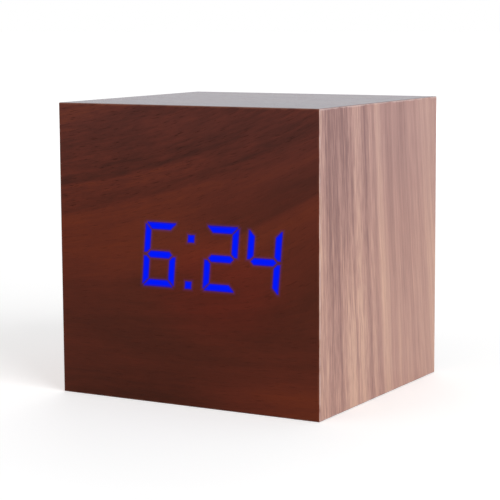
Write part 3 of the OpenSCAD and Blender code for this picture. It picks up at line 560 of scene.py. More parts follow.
class SparkTexture(Effect):
    """Fine grain of a moulding whose tool was spark-eroded, with faint handling marks."""

    name = "spark texture"
    inputs = (("Place", "NodeSocketVector"), ("Size", "NodeSocketFloat"))
    outputs = ("Height", "Mottle")
    grain_shown: Pair = (0.3, 0.7)
    mark_scale: float = 0.12
    mark_shown: Pair = (0.35, 0.7)

    def draw(self, graph: Graph, given: dict[str, Socket]) -> dict[str, Socket]:
        """Draws grains of about the given size and broad soft marks.

        Args:
            graph: The group's own tree.
            given: The point in millimetres and the size of the grains.

        Returns:
            The height of the grains and a mask of the marks, by name.
        """
        place = graph.stretched(given["Place"], graph.math(Calc.DIVIDE, 1.0, given["Size"]))
        grains = graph.noise(place, detail=2.0, roughness=0.7)
        marks = graph.noise(given["Place"], scale=self.mark_scale, detail=4.0)
        return {
            "Height": graph.between(grains, *self.grain_shown),
            "Mottle": graph.between(marks, *self.mark_shown),
        }


WOOD_FIGURE = WoodFigure()
EDGE_WEAR_AND_HIGHLIGHT = EdgeWearAndHighlight()
SPARK_TEXTURE = SparkTexture()


@dataclass(frozen=True)
class Finish:
    """A named surface finish on one Principled shader."""

    name: str

    def make(self) -> bpy.types.Material:
        """Makes the material on the finish's first use.

        Returns:
            The finish's material.
        """
        known = bpy.data.materials.get(self.name)
        if known is not None:
            return known
        material = bpy.data.materials.new(self.name)
        material.use_nodes = True
        self.wire(Graph(material.node_tree), material.node_tree.nodes["Principled BSDF"])
        return material

    def wire(self, graph: Graph, shader: bpy.types.Node) -> None:
        """Feeds the shader.

        Args:
            graph: The material's tree.
            shader: Its Principled shader.
        """
        raise NotImplementedError


@dataclass(frozen=True)
class GrainRise:
    """How bands of grain climb from the left of a panel to its right, by their height on the panel."""

    low_mm: float
    high_mm: float
    from_z_mm: float
    to_z_mm: float
    curve: float

    def climb(self, graph: Graph, along: Socket, across: Socket) -> Socket:
        """Works out how far a point's band has climbed.

        Args:
            graph: The material's tree.
            along: The point's distance along the grain, from the middle of the case.
            across: Its distance across the grain.

        Returns:
            The climb in millimetres, which is 0 at the left.
        """
        share = graph.scaled(along, MM / CASE_SIZE.x, 0.5)
        bent = graph.scaled(graph.times(share, share), self.curve, graph.times(share, 1 - self.curve))
        full = graph.between(across, self.from_z_mm, self.to_z_mm, self.low_mm, self.high_mm)
        return graph.times(bent, full)


@dataclass(frozen=True)
class Marks:
    """How strongly each kind of mark shows in a wood."""

    streaks: float = 0.3
    patches: float = 0.12
    fibres: float = 0.1
    pores: float = 0.4
    flecks: float = 0.0


@dataclass(frozen=True)
class LivelyZone:
    """Where across the grain marks are strongest, and what share of long and short ones is left outside."""

    faded_mm: float
    full_mm: float
    long_left: float
    short_left: float


@dataclass(frozen=True)
class TintZone:
    """Where a wood changes its hue, measured from the middle of the case, by a tint to multiply with."""

    axis: Axis
    from_mm: float
    to_mm: float
    tint: Colour


@dataclass(frozen=True)
class TintPatch:
    """A round patch with another hue: its middle from that of the case and its reach, along and across."""

    middle_mm: Pair
    reach_mm: Pair
    tint: Colour
    even_share: float = 0.2


@dataclass(frozen=True)
class WoodFinish(Finish):
    """Lacquered veneer with bands, streaks, patches, fibres, pores, flecks, and worn edges with a painted
    highlight.

    The bands are places across the grain, in millimetres from the middle of the case, with a tone from 0 for
    the dark colour to 1 for the light one. The far bands take over towards the far end of the grain. The
    grain can lean, fan out, rise, or turn with the sides of a frame, and it always wanders and ripples. The
    tint zone and the tint patch change its hue in places. Light glows through where an attribute marks it.
    """

    along: Axis
    across: Axis
    dark: Colour
    middle: Colour
    light: Colour
    bands: Pairs
    far_bands: Pairs = ()
    far_range_mm: Pair = (-4.0, 24.0)
    framed: bool = False
    lean: float = 0.0
    fan: float = 0.0
    rise: Optional[GrainRise] = None
    wander_mm: float = 1.5
    wander_size_mm: float = 33.0
    ripple_mm: float = 0.2
    ripple_size_mm: float = 7.0
    wave_narrowing: float = 3.0
    marks: Marks = Marks()
    mark_stretch: Pair = (1.0, 1.0)
    lively_zone: Optional[LivelyZone] = None
    tint_zone: Optional[TintZone] = None
    tint_patch: Optional[TintPatch] = None
    seed: float = 0.0
    pore_shade: float = 0.45
    roughness: float = 0.42
    fibre_dulling: float = 0.1
    pore_dulling: float = 0.15
    fibre_rise: float = 0.4
    relief_mm: float = 0.03
    relief_strength: float = 0.5
    specular: float = 0.5
    coat: float = 0.0
    coat_roughness: float = 0.15
    sheen: float = 0.0
    sheen_roughness: float = 0.5
    sheen_tint: Colour = WHITE
    # The edge share and edge colour lighten the edges: wear and a painted highlight.
    edge: float = 0.3
    edge_mm: float = 0.55
    edge_wear_and_highlight_colour: Colour = (0.27, 0.1, 0.06)
    glow_name: str = ""
    glow: Colour = BLACK
    glow_falloff: float = 2.5

    def grain_axes(self, graph: Graph, centred: list[Socket]) -> tuple[Socket, Socket]:
        """Picks the axes of the grain, which turns at the mitres of a frame.

        Args:
            graph: The material's tree.
            centred: A point's three distances from the middle of the case.

        Returns:
            The plain distances along and across the grain.
        """
        along, across = centred[self.along.value], centred[self.across.value]
        if not self.framed:
            return along, across
        turned = graph.math(Calc.GREATER_THAN, graph.unsigned(along), graph.unsigned(across))
        return graph.mix(turned, along, across), graph.mix(turned, across, along)

    def grain_place(self, graph: Graph, place: Socket) -> tuple[Socket, Socket]:
        """Works out where a point lies along and across the grain.

        Args:
            graph: The material's tree.
            place: The point in millimetres.

        Returns:
            The two distances from the middle of the case, in millimetres.
        """
        parts = graph.split(place)
        centred = [graph.minus(part, middle / MM) for part, middle in zip(parts, CASE_MIDDLE)]
        along, plain_across = self.grain_axes(graph, centred)
        across = graph.scaled(along, graph.scaled(plain_across, -self.fan, -self.lean), plain_across)
        if self.rise is not None:
            across = graph.minus(across, self.rise.climb(graph, along, across))
        waves = ((self.wander_size_mm, self.wander_mm), (self.ripple_size_mm, self.ripple_mm))
        for size_mm, reach_mm in waves:
            narrowed = graph.times(across, self.wave_narrowing / size_mm)
            spot = graph.vector(graph.times(along, 1 / size_mm), narrowed, self.seed)
            across = graph.plus(across, graph.swing(graph.noise(spot), reach_mm))
        return along, across

    def band_tone(self, graph: Graph, across: Socket, bands: Pairs) -> Socket:
        """Reads a set of bands.

        Args:
            graph: The material's tree.
            across: Distance across the grain.
            bands: The bands.

        Returns:
            Their tone at that distance.
        """
        first, last = bands[0][0], bands[-1][0]
        share = graph.scaled(across, 1 / (last - first), -first / (last - first))
        return graph.levels(share, [((spot - first) / (last - first), level) for spot, level in bands])

    def livened(self, graph: Graph, across: Socket, mark: Socket, short: bool) -> Socket:
        """Keeps a mark at its full strength in the lively zone and weakens it outside.

        Args:
            graph: The material's tree.
            across: Distance across the grain.
            mark: The mark's strength.
            short: Whether the mark is a short one.

        Returns:
            The strength that shows.
        """
        if self.lively_zone is None:
            return mark
        zone = self.lively_zone
        left = zone.short_left if short else zone.long_left
        return graph.times(mark, graph.between(across, zone.faded_mm, zone.full_mm, left, 1.0))

    def tone(self, graph: Graph, along: Socket, across: Socket, figure: dict[str, Socket]) -> Socket:
        """Adds the figure to the bands.

        Args:
            graph: The material's tree.
            along: Distance along the grain.
            across: Distance across the grain.
            figure: The outputs of the wood figure.

        Returns:
            The tone, from 0 for dark to 1 for light.
        """
        tone = self.band_tone(graph, across, self.bands)
        if self.far_bands:
            far_tone = self.band_tone(graph, across, self.far_bands)
            tone = graph.mix(graph.between(along, *self.far_range_mm), tone, far_tone)
        kinds = (
            ("Streaks", self.marks.streaks, False),
            ("Patches", self.marks.patches, False),
            ("Fibres", self.marks.fibres, False),
            ("Flecks", self.marks.flecks, True),
        )
        for kind, weight, short in kinds:
            tone = graph.plus(tone, self.livened(graph, across, graph.swing(figure[kind], weight), short))
        return tone

    def open_pores(self, graph: Graph, across: Socket, figure: dict[str, Socket]) -> Socket:
        """Returns a mask of the open pores."""
        return self.livened(graph, across, graph.times(figure["Pores"], self.marks.pores), short=True)

    def tinted(self, graph: Graph, place: Socket, colour: Socket) -> Socket:
        """Changes the hue in the tint zone.

        Args:
            graph: The material's tree.
            place: The point in millimetres.
            colour: The wood's colour there.

        Returns:
            The tinted colour.
        """
        if self.tint_zone is None:
            return colour
        zone = self.tint_zone
        part = graph.split(place)[zone.axis.value]
        from_middle = graph.minus(part, CASE_MIDDLE[zone.axis.value] / MM)
        share = graph.between(from_middle, zone.from_mm, zone.to_mm)
        return graph.mix(share, colour, zone.tint, Blend.MULTIPLY)

    def patched(self, graph: Graph, place: Socket, colour: Socket) -> Socket:
        """Changes the hue in the tint patch, which fades out towards its rim.

        Args:
            graph: The material's tree.
            place: The point in millimetres.
            colour: The wood's colour there.

        Returns:
            The tinted colour.
        """
        if self.tint_patch is None:
            return colour
        patch = self.tint_patch
        parts = graph.split(place)
        shares = []
        for axis, middle, reach in zip((self.along, self.across), patch.middle_mm, patch.reach_mm):
            away = graph.minus(parts[axis.value], CASE_MIDDLE[axis.value] / MM + middle)
            shares.append(graph.times(away, 1 / reach))
        far = graph.length(graph.vector(*shares, 0.0))
        share = graph.between(far, patch.even_share, 1.0, 1.0, 0.0)
        return graph.mix(share, colour, patch.tint, Blend.MULTIPLY)

    def wire(self, graph: Graph, shader: bpy.types.Node) -> None:
        """Feeds tone from the bands and the figure, lacquer over it, and any glow.

        Args:
            graph: The material's tree.
            shader: Its Principled shader.
        """
        place = graph.place_mm()
        along, across = self.grain_place(graph, place)
        longer, wider = self.mark_stretch
        mark_place = {"Along": graph.times(along, 1 / longer), "Across": graph.times(across, 1 / wider)}
        figure = WOOD_FIGURE.put(graph, Seed=self.seed, **mark_place)
        tone = self.tone(graph, along, across, figure)
        colour = graph.colours(tone, [(0.0, self.dark), (0.5, self.middle), (1.0, self.light)])
        colour = self.patched(graph, place, self.tinted(graph, place, colour))
        colour = graph.mix(self.open_pores(graph, across, figure), colour, shaded(self.dark, self.pore_shade))
        # Wear and a painted highlight lighten the edges of the case.
        worn = EDGE_WEAR_AND_HIGHLIGHT.put(graph, Place=place, Width=self.edge_mm)["Edge"]
        colour = graph.mix(graph.times(worn, self.edge), colour, self.edge_wear_and_highlight_colour)
        dulled = graph.scaled(figure["Pores"], self.pore_dulling, self.roughness)
        relief = graph.minus(graph.times(figure["Fibres"], self.fibre_rise), figure["Pores"])
        graph.feed_all(
            shader,
            Base_Color=colour,
            Roughness=graph.scaled(figure["Fibres"], self.fibre_dulling, dulled),
            Specular_IOR_Level=self.specular,
            Coat_Weight=self.coat,
            Coat_Roughness=self.coat_roughness,
            Sheen_Weight=self.sheen,
            Sheen_Roughness=self.sheen_roughness,
            Sheen_Tint=self.sheen_tint,
            Normal=graph.bump(relief, self.relief_mm, self.relief_strength),
        )
        if self.glow_name:
            lit = graph.math(Calc.POWER, graph.share_of(self.glow_name), self.glow_falloff)
            graph.feed_all(shader, Emission_Color=graph.mix(lit, BLACK, self.glow), Emission_Strength=1.0)


@dataclass(frozen=True)
class FibreFinish(Finish):
    """Raw pressed fibreboard: pale, matt and finely flecked."""

    deep: Colour = (0.3, 0.17, 0.075)
    deep_tone: float = 0.32
    pale: Colour = (0.46, 0.29, 0.14)
    pale_tone: float = 0.62
    fleck_scale: float = 2.4
    fleck_share: float = 0.7
    mottle_scale: float = 0.18
    roughness: float = 0.78
    fleck_dulling: float = 0.15
    relief_mm: float = 0.05
    relief_strength: float = 0.4

    def wire(self, graph: Graph, shader: bpy.types.Node) -> None:
        """Feeds flecks of fibre over a soft mottle.

        Args:
            graph: The material's tree.
            shader: Its Principled shader.
        """
        place = graph.place_mm()
        flecks = graph.noise(place, scale=self.fleck_scale, detail=5.0, roughness=0.75)
        mottle = graph.noise(place, scale=self.mottle_scale, detail=3.0)
        tone = graph.plus(graph.times(flecks, self.fleck_share), graph.times(mottle, 1 - self.fleck_share))
        graph.feed_all(
            shader,
            Base_Color=graph.colours(tone, [(self.deep_tone, self.deep), (self.pale_tone, self.pale)]),
            Roughness=graph.scaled(flecks, self.fleck_dulling, self.roughness),
            Specular_IOR_Level=0.25,
            Normal=graph.bump(flecks, self.relief_mm, self.relief_strength),
        )


@dataclass(frozen=True)
class GlowFinish(Finish):
    """A milky light bar, lit from behind: bright at its core, marked by an attribute, and dim at its rim."""

    core_name: str = "core"
    core_share: float = 0.95
    full_share: float = 0.9
    cloud_scale: float = 0.55
    cloud_share: float = 0.1
    glow: Colour = (0.0, 0.009, 0.92)
    rim: Colour = (0.025, 0.009, 0.28)
    body: Colour = (0.0, 0.0, 0.02)
    cloudy_body: Colour = (0.0, 0.001, 0.05)
    roughness: float = 0.5
    cloud_dulling: float = 0.1

    def wire(self, graph: Graph, shader: bpy.types.Node) -> None:
        """Feeds a glow that falls off towards the rim and is very slightly uneven.

        Args:
            graph: The material's tree.
            shader: Its Principled shader.
        """
        cloud = graph.noise(graph.place_mm(), scale=self.cloud_scale, detail=2.0)
        core = graph.times(graph.share_of(self.core_name), self.core_share)
        share = graph.plus(core, graph.swing(cloud, self.cloud_share))
        graph.feed_all(
            shader,
            Base_Color=graph.mix(cloud, self.body, self.cloudy_body),
            Roughness=graph.scaled(cloud, self.cloud_dulling, self.roughness),
            Specular_IOR_Level=0.0,
            Emission_Color=graph.colours(share, [(0.0, self.rim), (self.full_share, self.glow)]),
            Emission_Strength=1.0,
        )


@dataclass(frozen=True)
class MouldedFinish(Finish):
    """A moulded plastic with a spark texture and faint handling marks."""

    colour: Colour
    grain_mm: float = 0.28
    grain_share: float = 0.6
    raised_gain: float = 1.35
    raised_lift: float = 0.004
    relief_mm: float = 0.05
    relief_strength: float = 0.6
    roughness: float = 0.5
    polish: float = 0.08
    specular: float = 0.45

    def wire(self, graph: Graph, shader: bpy.types.Node) -> None:
        """Feeds the spark texture to the colour, the gloss and the relief.

        Args:
            graph: The material's tree.
            shader: Its Principled shader.
        """
        texture = SPARK_TEXTURE.put(graph, Place=graph.place_mm(), Size=self.grain_mm)
        raised = shaded(self.colour, self.raised_gain, self.raised_lift)
        mottle = graph.times(texture["Mottle"], 1 - self.grain_share)
        shade = graph.scaled(texture["Height"], self.grain_share, mottle)
        graph.feed_all(
            shader,
            Base_Color=graph.mix(shade, self.colour, raised),
            Roughness=graph.scaled(texture["Mottle"], -self.polish, self.roughness + self.polish / 2),
            Specular_IOR_Level=self.specular,
            Normal=graph.bump(texture["Height"], self.relief_mm, self.relief_strength),
        )


@dataclass(frozen=True)
class MetalFinish(Finish):
    """A plated metal with fine rubbing marks along one axis."""

    colour: Colour
    rubbed: Axis
    roughness: float
    scratch_dulling: float = 0.18
    long_scale: float = 0.4
    fine_scale: float = 9.0
    tarnish_shade: float = 0.72
    tarnish_scale: float = 0.6
    tarnish_shown: Pair = (0.45, 0.75)
    tarnish_dulling: float = 0.12
    relief_mm: float = 0.01
    relief_strength: float = 0.35

    def wire(self, graph: Graph, shader: bpy.types.Node) -> None:
        """Feeds stretched scratches and a soft tarnish.

        Args:
            graph: The material's tree.
            shader: Its Principled shader.
        """
        place = graph.place_mm()
        scales = [self.long_scale if axis is self.rubbed else self.fine_scale for axis in Axis]
        fine = [graph.times(part, scale) for part, scale in zip(graph.split(place), scales)]
        scratches = graph.noise(graph.vector(*fine), detail=3.0)
        tarnish = graph.between(graph.noise(place, scale=self.tarnish_scale, detail=4.0), *self.tarnish_shown)
        dulled = graph.scaled(tarnish, self.tarnish_dulling, self.roughness - self.scratch_dulling / 2)
        graph.feed_all(
            shader,
            Base_Color=graph.mix(tarnish, self.colour, shaded(self.colour, self.tarnish_shade)),
            Metallic=1.0,
            Roughness=graph.scaled(scratches, self.scratch_dulling, dulled),
            Normal=graph.bump(scratches, self.relief_mm, self.relief_strength),
        )


@dataclass(frozen=True)
class CircuitFinish(Finish):
    """Green solder mask over copper tracks, with tinned dots. Edges give where a form starts and is full."""

    mask: Colour = (0.008, 0.075, 0.03)
    track: Colour = (0.02, 0.17, 0.06)
    track_pitch_mm: float = 1.9
    track_edge: Pair = (0.16, 0.12)
    step_scale: float = 0.11
    step_size: float = 0.06
    step_jump: float = 9.0
    tin: Colour = (0.62, 0.62, 0.58)
    pad_scale: float = 0.3
    pad_edge: Pair = (0.2, 0.17)
    pad_polish: float = 0.05
    roughness: float = 0.32
    relief_mm: float = 0.05
    relief_strength: float = 0.6

    def wire(self, graph: Graph, shader: bpy.types.Node) -> None:
        """Feeds raised tracks that step about, and round tinned pads.

        Args:
            graph: The material's tree.
            shader: Its Principled shader.
        """
        x, _, z = graph.split(graph.place_mm())
        flat = graph.vector(x, 0.0, z)
        steps = graph.math(Calc.SNAP, graph.noise(flat, scale=self.step_scale, detail=0.0), self.step_size)
        run = graph.scaled(z, 1 / self.track_pitch_mm, graph.times(steps, self.step_jump))
        off_track = graph.unsigned(graph.minus(graph.math(Calc.FRACT, run), 0.5))
        tracks = graph.between(off_track, *self.track_edge)
        pads = graph.between(graph.cells(flat, self.pad_scale), *self.pad_edge)
        colour = graph.mix(tracks, self.mask, self.track)
        graph.feed_all(
            shader,
            Base_Color=graph.mix(pads, colour, self.tin),
            Metallic=pads,
            Roughness=graph.scaled(pads, -self.pad_polish, self.roughness),
            Normal=graph.bump(graph.larger(tracks, pads), self.relief_mm, self.relief_strength),
        )


@dataclass(frozen=True)
class SleeveFinish(Finish):
    """A printed sleeve on a cell that lies along X: a main colour, a pale band and bare metal at the ends."""

    cap_side: float
    middle_mm: Triple
    wall_mm: float
    half_mm: float
    body: Colour = (0.012, 0.075, 0.13)
    band: Colour = (0.5, 0.52, 0.54)
    ink: Colour = (0.85, 0.84, 0.8)
    metal: Colour = (0.7, 0.7, 0.68)
    band_edge_mm: Pair = (11.4, 11.6)
    cap_edge_mm: Pair = (20.7, 20.8)
    foot_edge_mm: Pair = (0.14, 0.06)
    plus_at_mm: float = 8.0
    minus_at_mm: float = -16.0
    sign_half_mm: float = 1.3
    stroke_half_mm: float = 0.3
    sign_blur_mm: float = 0.04
    scuff_scales: Triple = (0.3, 2.0, 2.0)
    scuff_shown: Pair = (0.55, 0.8)
    scuff_share: float = 0.3
    shine_shown: Pair = (0.3, 0.7)
    shine: Pair = (0.3, 0.5)
    roughness: float = 0.2
    scuff_dulling: float = 0.2
    coat: float = 0.5

    def bar(self, graph: Graph, across: Socket, reach_mm: float) -> Socket:
        """Returns 1 where a distance is less than a reach."""
        outer_mm, inner_mm = reach_mm + self.sign_blur_mm, reach_mm - self.sign_blur_mm
        return graph.between(graph.unsigned(across), outer_mm, inner_mm)

    def signs(self, graph: Graph, station: Socket, arc: Socket) -> Socket:
        """Draws a plus near the cap and a minus near the foot, on the side towards the door.

        Args:
            graph: The material's tree.
            station: Distance along the cell from its middle, towards the cap.
            arc: Distance round the cell from its side towards the door.

        Returns:
            A mask of the signs.
        """
        from_plus = graph.minus(station, self.plus_at_mm)
        from_minus = graph.minus(station, self.minus_at_mm)
        long_plus = self.bar(graph, from_plus, self.sign_half_mm)
        thin_plus = self.bar(graph, from_plus, self.stroke_half_mm)
        thin_minus = self.bar(graph, from_minus, self.stroke_half_mm)
        tall = self.bar(graph, arc, self.sign_half_mm)
        thin = self.bar(graph, arc, self.stroke_half_mm)
        upright = graph.times(graph.larger(thin_plus, thin_minus), tall)
        return graph.larger(graph.times(long_plus, thin), upright)

    def wire(self, graph: Graph, shader: bpy.types.Node) -> None:
        """Feeds the print along the cell and round it.

        Args:
            graph: The material's tree.
            shader: Its Principled shader.
        """
        parts = graph.split(graph.place_mm())
        x, y, z = (graph.minus(part, middle) for part, middle in zip(parts, self.middle_mm))
        station = graph.times(x, self.cap_side)
        arc = graph.times(graph.math(Calc.ARCTAN2, z, y), self.wall_mm)
        stretched = [graph.times(part, scale) for part, scale in zip((x, y, z), self.scuff_scales)]
        scuffs = graph.noise(graph.vector(*stretched), detail=4.0)
        above_foot = graph.plus(station, self.half_mm)
        bare_foot = graph.between(above_foot, *self.foot_edge_mm)
        bare = graph.larger(graph.between(station, *self.cap_edge_mm), bare_foot)
        banded = graph.mix(graph.between(station, *self.band_edge_mm), self.body, self.band)
        worn = graph.mix(graph.between(scuffs, *self.scuff_shown, 0.0, self.scuff_share), banded, self.metal)
        inked = graph.mix(self.signs(graph, station, arc), worn, self.ink)
        graph.feed_all(
            shader,
            Base_Color=graph.mix(bare, inked, self.metal),
            Metallic=graph.larger(bare, graph.between(scuffs, *self.shine_shown, *self.shine)),
            Roughness=graph.scaled(scuffs, self.scuff_dulling, self.roughness),
            Coat_Weight=graph.scaled(bare, -self.coat, self.coat),
        )


@dataclass(frozen=True)
class InkFinish(Finish):
    """Pad-printed ink, a little thin in places."""

    ink: Colour = (0.74, 0.74, 0.72)
    thin: Colour = (0.4, 0.4, 0.4)
    spot_scale: float = 3.5
    spot_shown: Pair = (0.5, 0.75)
    roughness: float = 0.45
    spot_dulling: float = 0.2

    def wire(self, graph: Graph, shader: bpy.types.Node) -> None:
        """Feeds thin spots to the colour and the gloss.

        Args:
            graph: The material's tree.
            shader: Its Principled shader.
        """
        spots = graph.noise(graph.place_mm(), scale=self.spot_scale, detail=3.0)
        graph.feed_all(
            shader,
            Base_Color=graph.mix(graph.between(spots, *self.spot_shown), self.ink, self.thin),
            Roughness=graph.scaled(spots, self.spot_dulling, self.roughness),
            Specular_IOR_Level=0.3,
        )


@dataclass(frozen=True)
class InsulationFinish(Finish):
    """Soft plastic insulation, slightly dusty. On a ribbon it has ribs, and a stripe marks one edge."""

    colour: Colour
    bloom_gain: float = 1.25
    bloom_lift: float = 0.01
    bloom_scale: float = 1.1
    bloom_shown: Pair = (0.4, 0.75)
    bloom_dulling: float = 0.15
    roughness: float = 0.4
    stripe: Optional[Colour] = None
    stripe_below_mm: float = 0.0
    stripe_blur_mm: float = 0.05
    rib_mm: float = 0.0
    rib_relief_mm: float = 0.25
    rib_strength: float = 0.8

    def wire(self, graph: Graph, shader: bpy.types.Node) -> None:
        """Feeds a soft bloom and, on a ribbon, its cores and marked edge.

        Args:
            graph: The material's tree.
            shader: Its Principled shader.
        """
        place = graph.place_mm()
        x = graph.split(place)[Axis.X.value]
        bloom = graph.noise(place, scale=self.bloom_scale, detail=3.0)
        pale = shaded(self.colour, self.bloom_gain, self.bloom_lift)
        colour = graph.mix(graph.between(bloom, *self.bloom_shown), self.colour, pale)
        if self.stripe is not None:
            outside_mm = self.stripe_below_mm + self.stripe_blur_mm
            colour = graph.mix(graph.between(x, outside_mm, self.stripe_below_mm), colour, self.stripe)
        graph.feed_all(
            shader,
            Base_Color=colour,
            Roughness=graph.scaled(bloom, self.bloom_dulling, self.roughness),
            Specular_IOR_Level=0.4,
        )
        if self.rib_mm > 0:
            wave = graph.unsigned(graph.math(Calc.SINE, graph.times(x, math.pi / self.rib_mm)))
            graph.feed_all(shader, Normal=graph.bump(wave, self.rib_relief_mm, self.rib_strength))


# The front and the sides are one walnut veneer. The front's copy is darker and redder than the sides': painted
# shade.
SHADED_FRONT_WOOD = WoodFinish(
    name="front_walnut_painted_shade",
    along=Axis.X,
    across=Axis.Z,
    dark=(0.055, 0.0142, 0.0078),
    middle=(0.112, 0.0219, 0.0111),
    light=(0.174, 0.0322, 0.0118),
    bands=(
        (-38.0, 0.14), (-26.0, 0.14), (-23.5, 0.23), (-20.0, 0.25), (-14.0, 0.24), (-10.0, 0.28),
        (-8.2, 0.32), (-6.8, 0.42), (-5.2, 0.56), (-2.0, 0.62), (2.0, 0.64), (4.0, 0.64),
        (6.8, 0.63), (8.0, 0.28), (9.5, 0.36), (11.0, 0.48), (13.0, 0.54), (13.8, 0.22),
        (16.0, 0.34), (19.0, 0.4), (22.0, 0.38), (24.5, 0.3), (27.0, 0.52), (34.0, 0.64),
    ),
    far_bands=(
        (-38.0, 0.68), (-26.0, 0.64), (-23.9, 0.46), (-19.2, 0.26), (-15.8, 0.22), (-13.1, 0.28),
        (-11.0, 0.44), (-7.8, 0.57), (-5.5, 0.62), (-3.8, 0.56), (-3.1, 0.28), (0.0, 0.24),
        (2.6, 0.34), (4.0, 0.5), (6.5, 0.52), (8.6, 0.4), (10.0, 0.3), (14.0, 0.3),
        (34.0, 0.34),
    ),
    rise=GrainRise(low_mm=1.0, high_mm=18.0, from_z_mm=-24.0, to_z_mm=16.0, curve=0.5),
    marks=Marks(streaks=0.12, patches=0.14, fibres=0.06, pores=0.6, flecks=0.1),
    lively_zone=LivelyZone(faded_mm=0.0, full_mm=13.0, long_left=0.5, short_left=0.4),
    tint_zone=TintZone(Axis.Z, from_mm=0.0, to_mm=36.0, tint=(1.0, 1.32, 1.9)),
    tint_patch=TintPatch(middle_mm=(8.0, -6.0), reach_mm=(22.0, 14.0), tint=(1.3, 0.98, 0.97)),
    wander_mm=1.0,
    seed=3.0,
    roughness=0.5,
    specular=0.06,
    edge=0.35,
    glow_name="glow",
    glow=(0.0, 0.002, 0.1),
)
# The sides' copy of the walnut is much paler and pinker than the front's: painted light, the same on both
# sides.
LIT_SIDE_WOOD = WoodFinish(
    name="side_walnut_painted_light",
    along=Axis.Z,
    across=Axis.Y,
    dark=(0.25, 0.118, 0.1),
    middle=(0.445, 0.238, 0.195),
    light=(0.64, 0.39, 0.29),
    bands=(
        (-32.0, 0.66), (-27.3, 0.62), (-26.3, 0.72), (-24.0, 0.4), (-22.7, 0.28), (-20.8, 0.44),
        (-19.9, 0.34), (-18.0, 0.66), (-17.0, 0.66), (-15.2, 1.0), (-13.6, 0.84), (-12.4, 0.6),
        (-10.6, 0.98), (-8.4, 0.78), (-6.4, 0.26), (-4.5, 0.64), (-2.4, 0.46), (-0.1, 0.92),
        (1.6, 0.78), (3.3, 0.58), (5.4, 0.56), (7.5, 0.62), (9.6, 0.5), (11.7, 0.66),
        (14.0, 0.44), (17.2, 0.7), (19.8, 0.54), (21.6, 0.7), (23.6, 0.88), (32.0, 0.9),
    ),
    far_bands=(
        (-32.0, 0.7), (-26.8, 0.74), (-25.0, 0.36), (-22.5, 0.08), (-20.9, 0.12), (-19.9, 0.05),
        (-17.9, 0.4), (-16.1, 0.06), (-14.0, 0.44), (-12.7, 0.28), (-10.5, 0.68), (-8.4, 0.46),
        (-6.5, 0.14), (-4.5, 0.54), (-2.3, 0.36), (0.1, 0.8), (1.8, 0.58), (3.2, 0.42),
        (5.6, 0.32), (8.2, 0.5), (10.6, 0.3), (12.0, 0.36), (13.8, 0.26), (16.5, 0.52),
        (18.5, 0.42), (20.4, 0.46), (22.6, 0.6), (32.0, 0.58),
    ),
    far_range_mm=(-32.0, 22.0),
    lean=-0.093,
    fan=-0.002,
    marks=Marks(streaks=0.16, patches=0.08, fibres=0.18, pores=0.45, flecks=0.24),
    mark_stretch=(1.8, 0.66),
    lively_zone=LivelyZone(faded_mm=4.0, full_mm=-12.0, long_left=0.75, short_left=0.25),
    tint_zone=TintZone(Axis.Z, from_mm=-5.0, to_mm=30.0, tint=(0.965, 1.0, 1.08)),
    wander_mm=0.6,
    ripple_mm=0.26,
    seed=12.0,
    specular=0.4,
    edge=0.45,
    edge_wear_and_highlight_colour=(0.78, 0.62, 0.6),
)
TOP_WOOD = WoodFinish(
    name="top_walnut",
    along=Axis.X,
    across=Axis.Y,
    dark=(0.06, 0.0195, 0.0125),
    middle=(0.115, 0.042, 0.026),
    light=(0.185, 0.075, 0.045),
    bands=((-30.0, 0.5), (-18.0, 0.4), (-6.0, 0.56), (6.0, 0.44), (18.0, 0.58), (30.0, 0.48)),
    lean=0.05,
    marks=Marks(streaks=0.22, fibres=0.08, pores=0.3),
    seed=31.0,
    roughness=0.3,
    coat=0.2,
    sheen=0.26,
    sheen_roughness=0.3,
    sheen_tint=(0.5, 0.7, 1.0),
)
EDGING_WOOD = WoodFinish(
    name="edging_walnut",
    along=Axis.Z,
    across=Axis.X,
    dark=(0.1, 0.04, 0.03),
    middle=(0.2, 0.085, 0.06),
    light=(0.32, 0.15, 0.1),
    bands=((-31.0, 0.5), (0.0, 0.5), (31.0, 0.5)),
    seed=47.0,
    framed=True,
)
RAW_BOARD = FibreFinish(name="raw_fibreboard")
LIT_BAR = GlowFinish(name="lit_bar")
DARK_BAR = MouldedFinish(
    name="milky_bar", colour=(0.33, 0.31, 0.28), grain_mm=0.6, relief_mm=0.01, roughness=0.4
)
WHITE_PLASTIC = MouldedFinish(name="white_moulding_plastic", colour=(0.78, 0.77, 0.72), relief_mm=0.02)
CHIP_RESIN = MouldedFinish(name="chip_resin", colour=(0.012, 0.012, 0.013), grain_mm=0.12, roughness=0.6)
LED_RESIN = MouldedFinish(
    name="led_resin", colour=(0.8, 0.55, 0.07), grain_mm=0.4, relief_mm=0.01, roughness=0.25
)
BLACK_PLASTIC = MouldedFinish(name="black_spark_plastic", colour=(0.016, 0.016, 0.0175), roughness=0.52)
BUTTON_PLASTIC = MouldedFinish(
    name="button_plastic", colour=(0.021, 0.021, 0.023), grain_mm=0.15, relief_mm=0.012, roughness=0.36
)
PLUNGER_PLASTIC = MouldedFinish(
    name="plunger_plastic", colour=(0.32, 0.3, 0.26), relief_mm=0.015, roughness=0.4
)
NICKEL = MetalFinish(name="nickel_plate", colour=(0.72, 0.7, 0.64), rubbed=Axis.Z, roughness=0.24)
ZINC = MetalFinish(name="zinc_plate", colour=(0.62, 0.64, 0.67), rubbed=Axis.X, roughness=0.34)
CIRCUIT = CircuitFinish(name="green_circuit_board")
WHITE_INK = InkFinish(name="white_ink")
RED_LEAD = InsulationFinish(name="red_insulation", colour=(0.45, 0.006, 0.008))
BLACK_LEAD = InsulationFinish(name="black_insulation", colour=(0.012, 0.012, 0.012))


def dress(finish: Finish, *nodes: str) -> None:
    """Gives CAD nodes a finish.

    Args:
        finish: The finish to use.
        nodes: Names of the nodes.
    """
    material = finish.make()
    for node in nodes:
        for slot in frame["nodes"][node].material_slots:
            slot.material = material
        LOG.info("%s has the finish %s", node, finish.name)


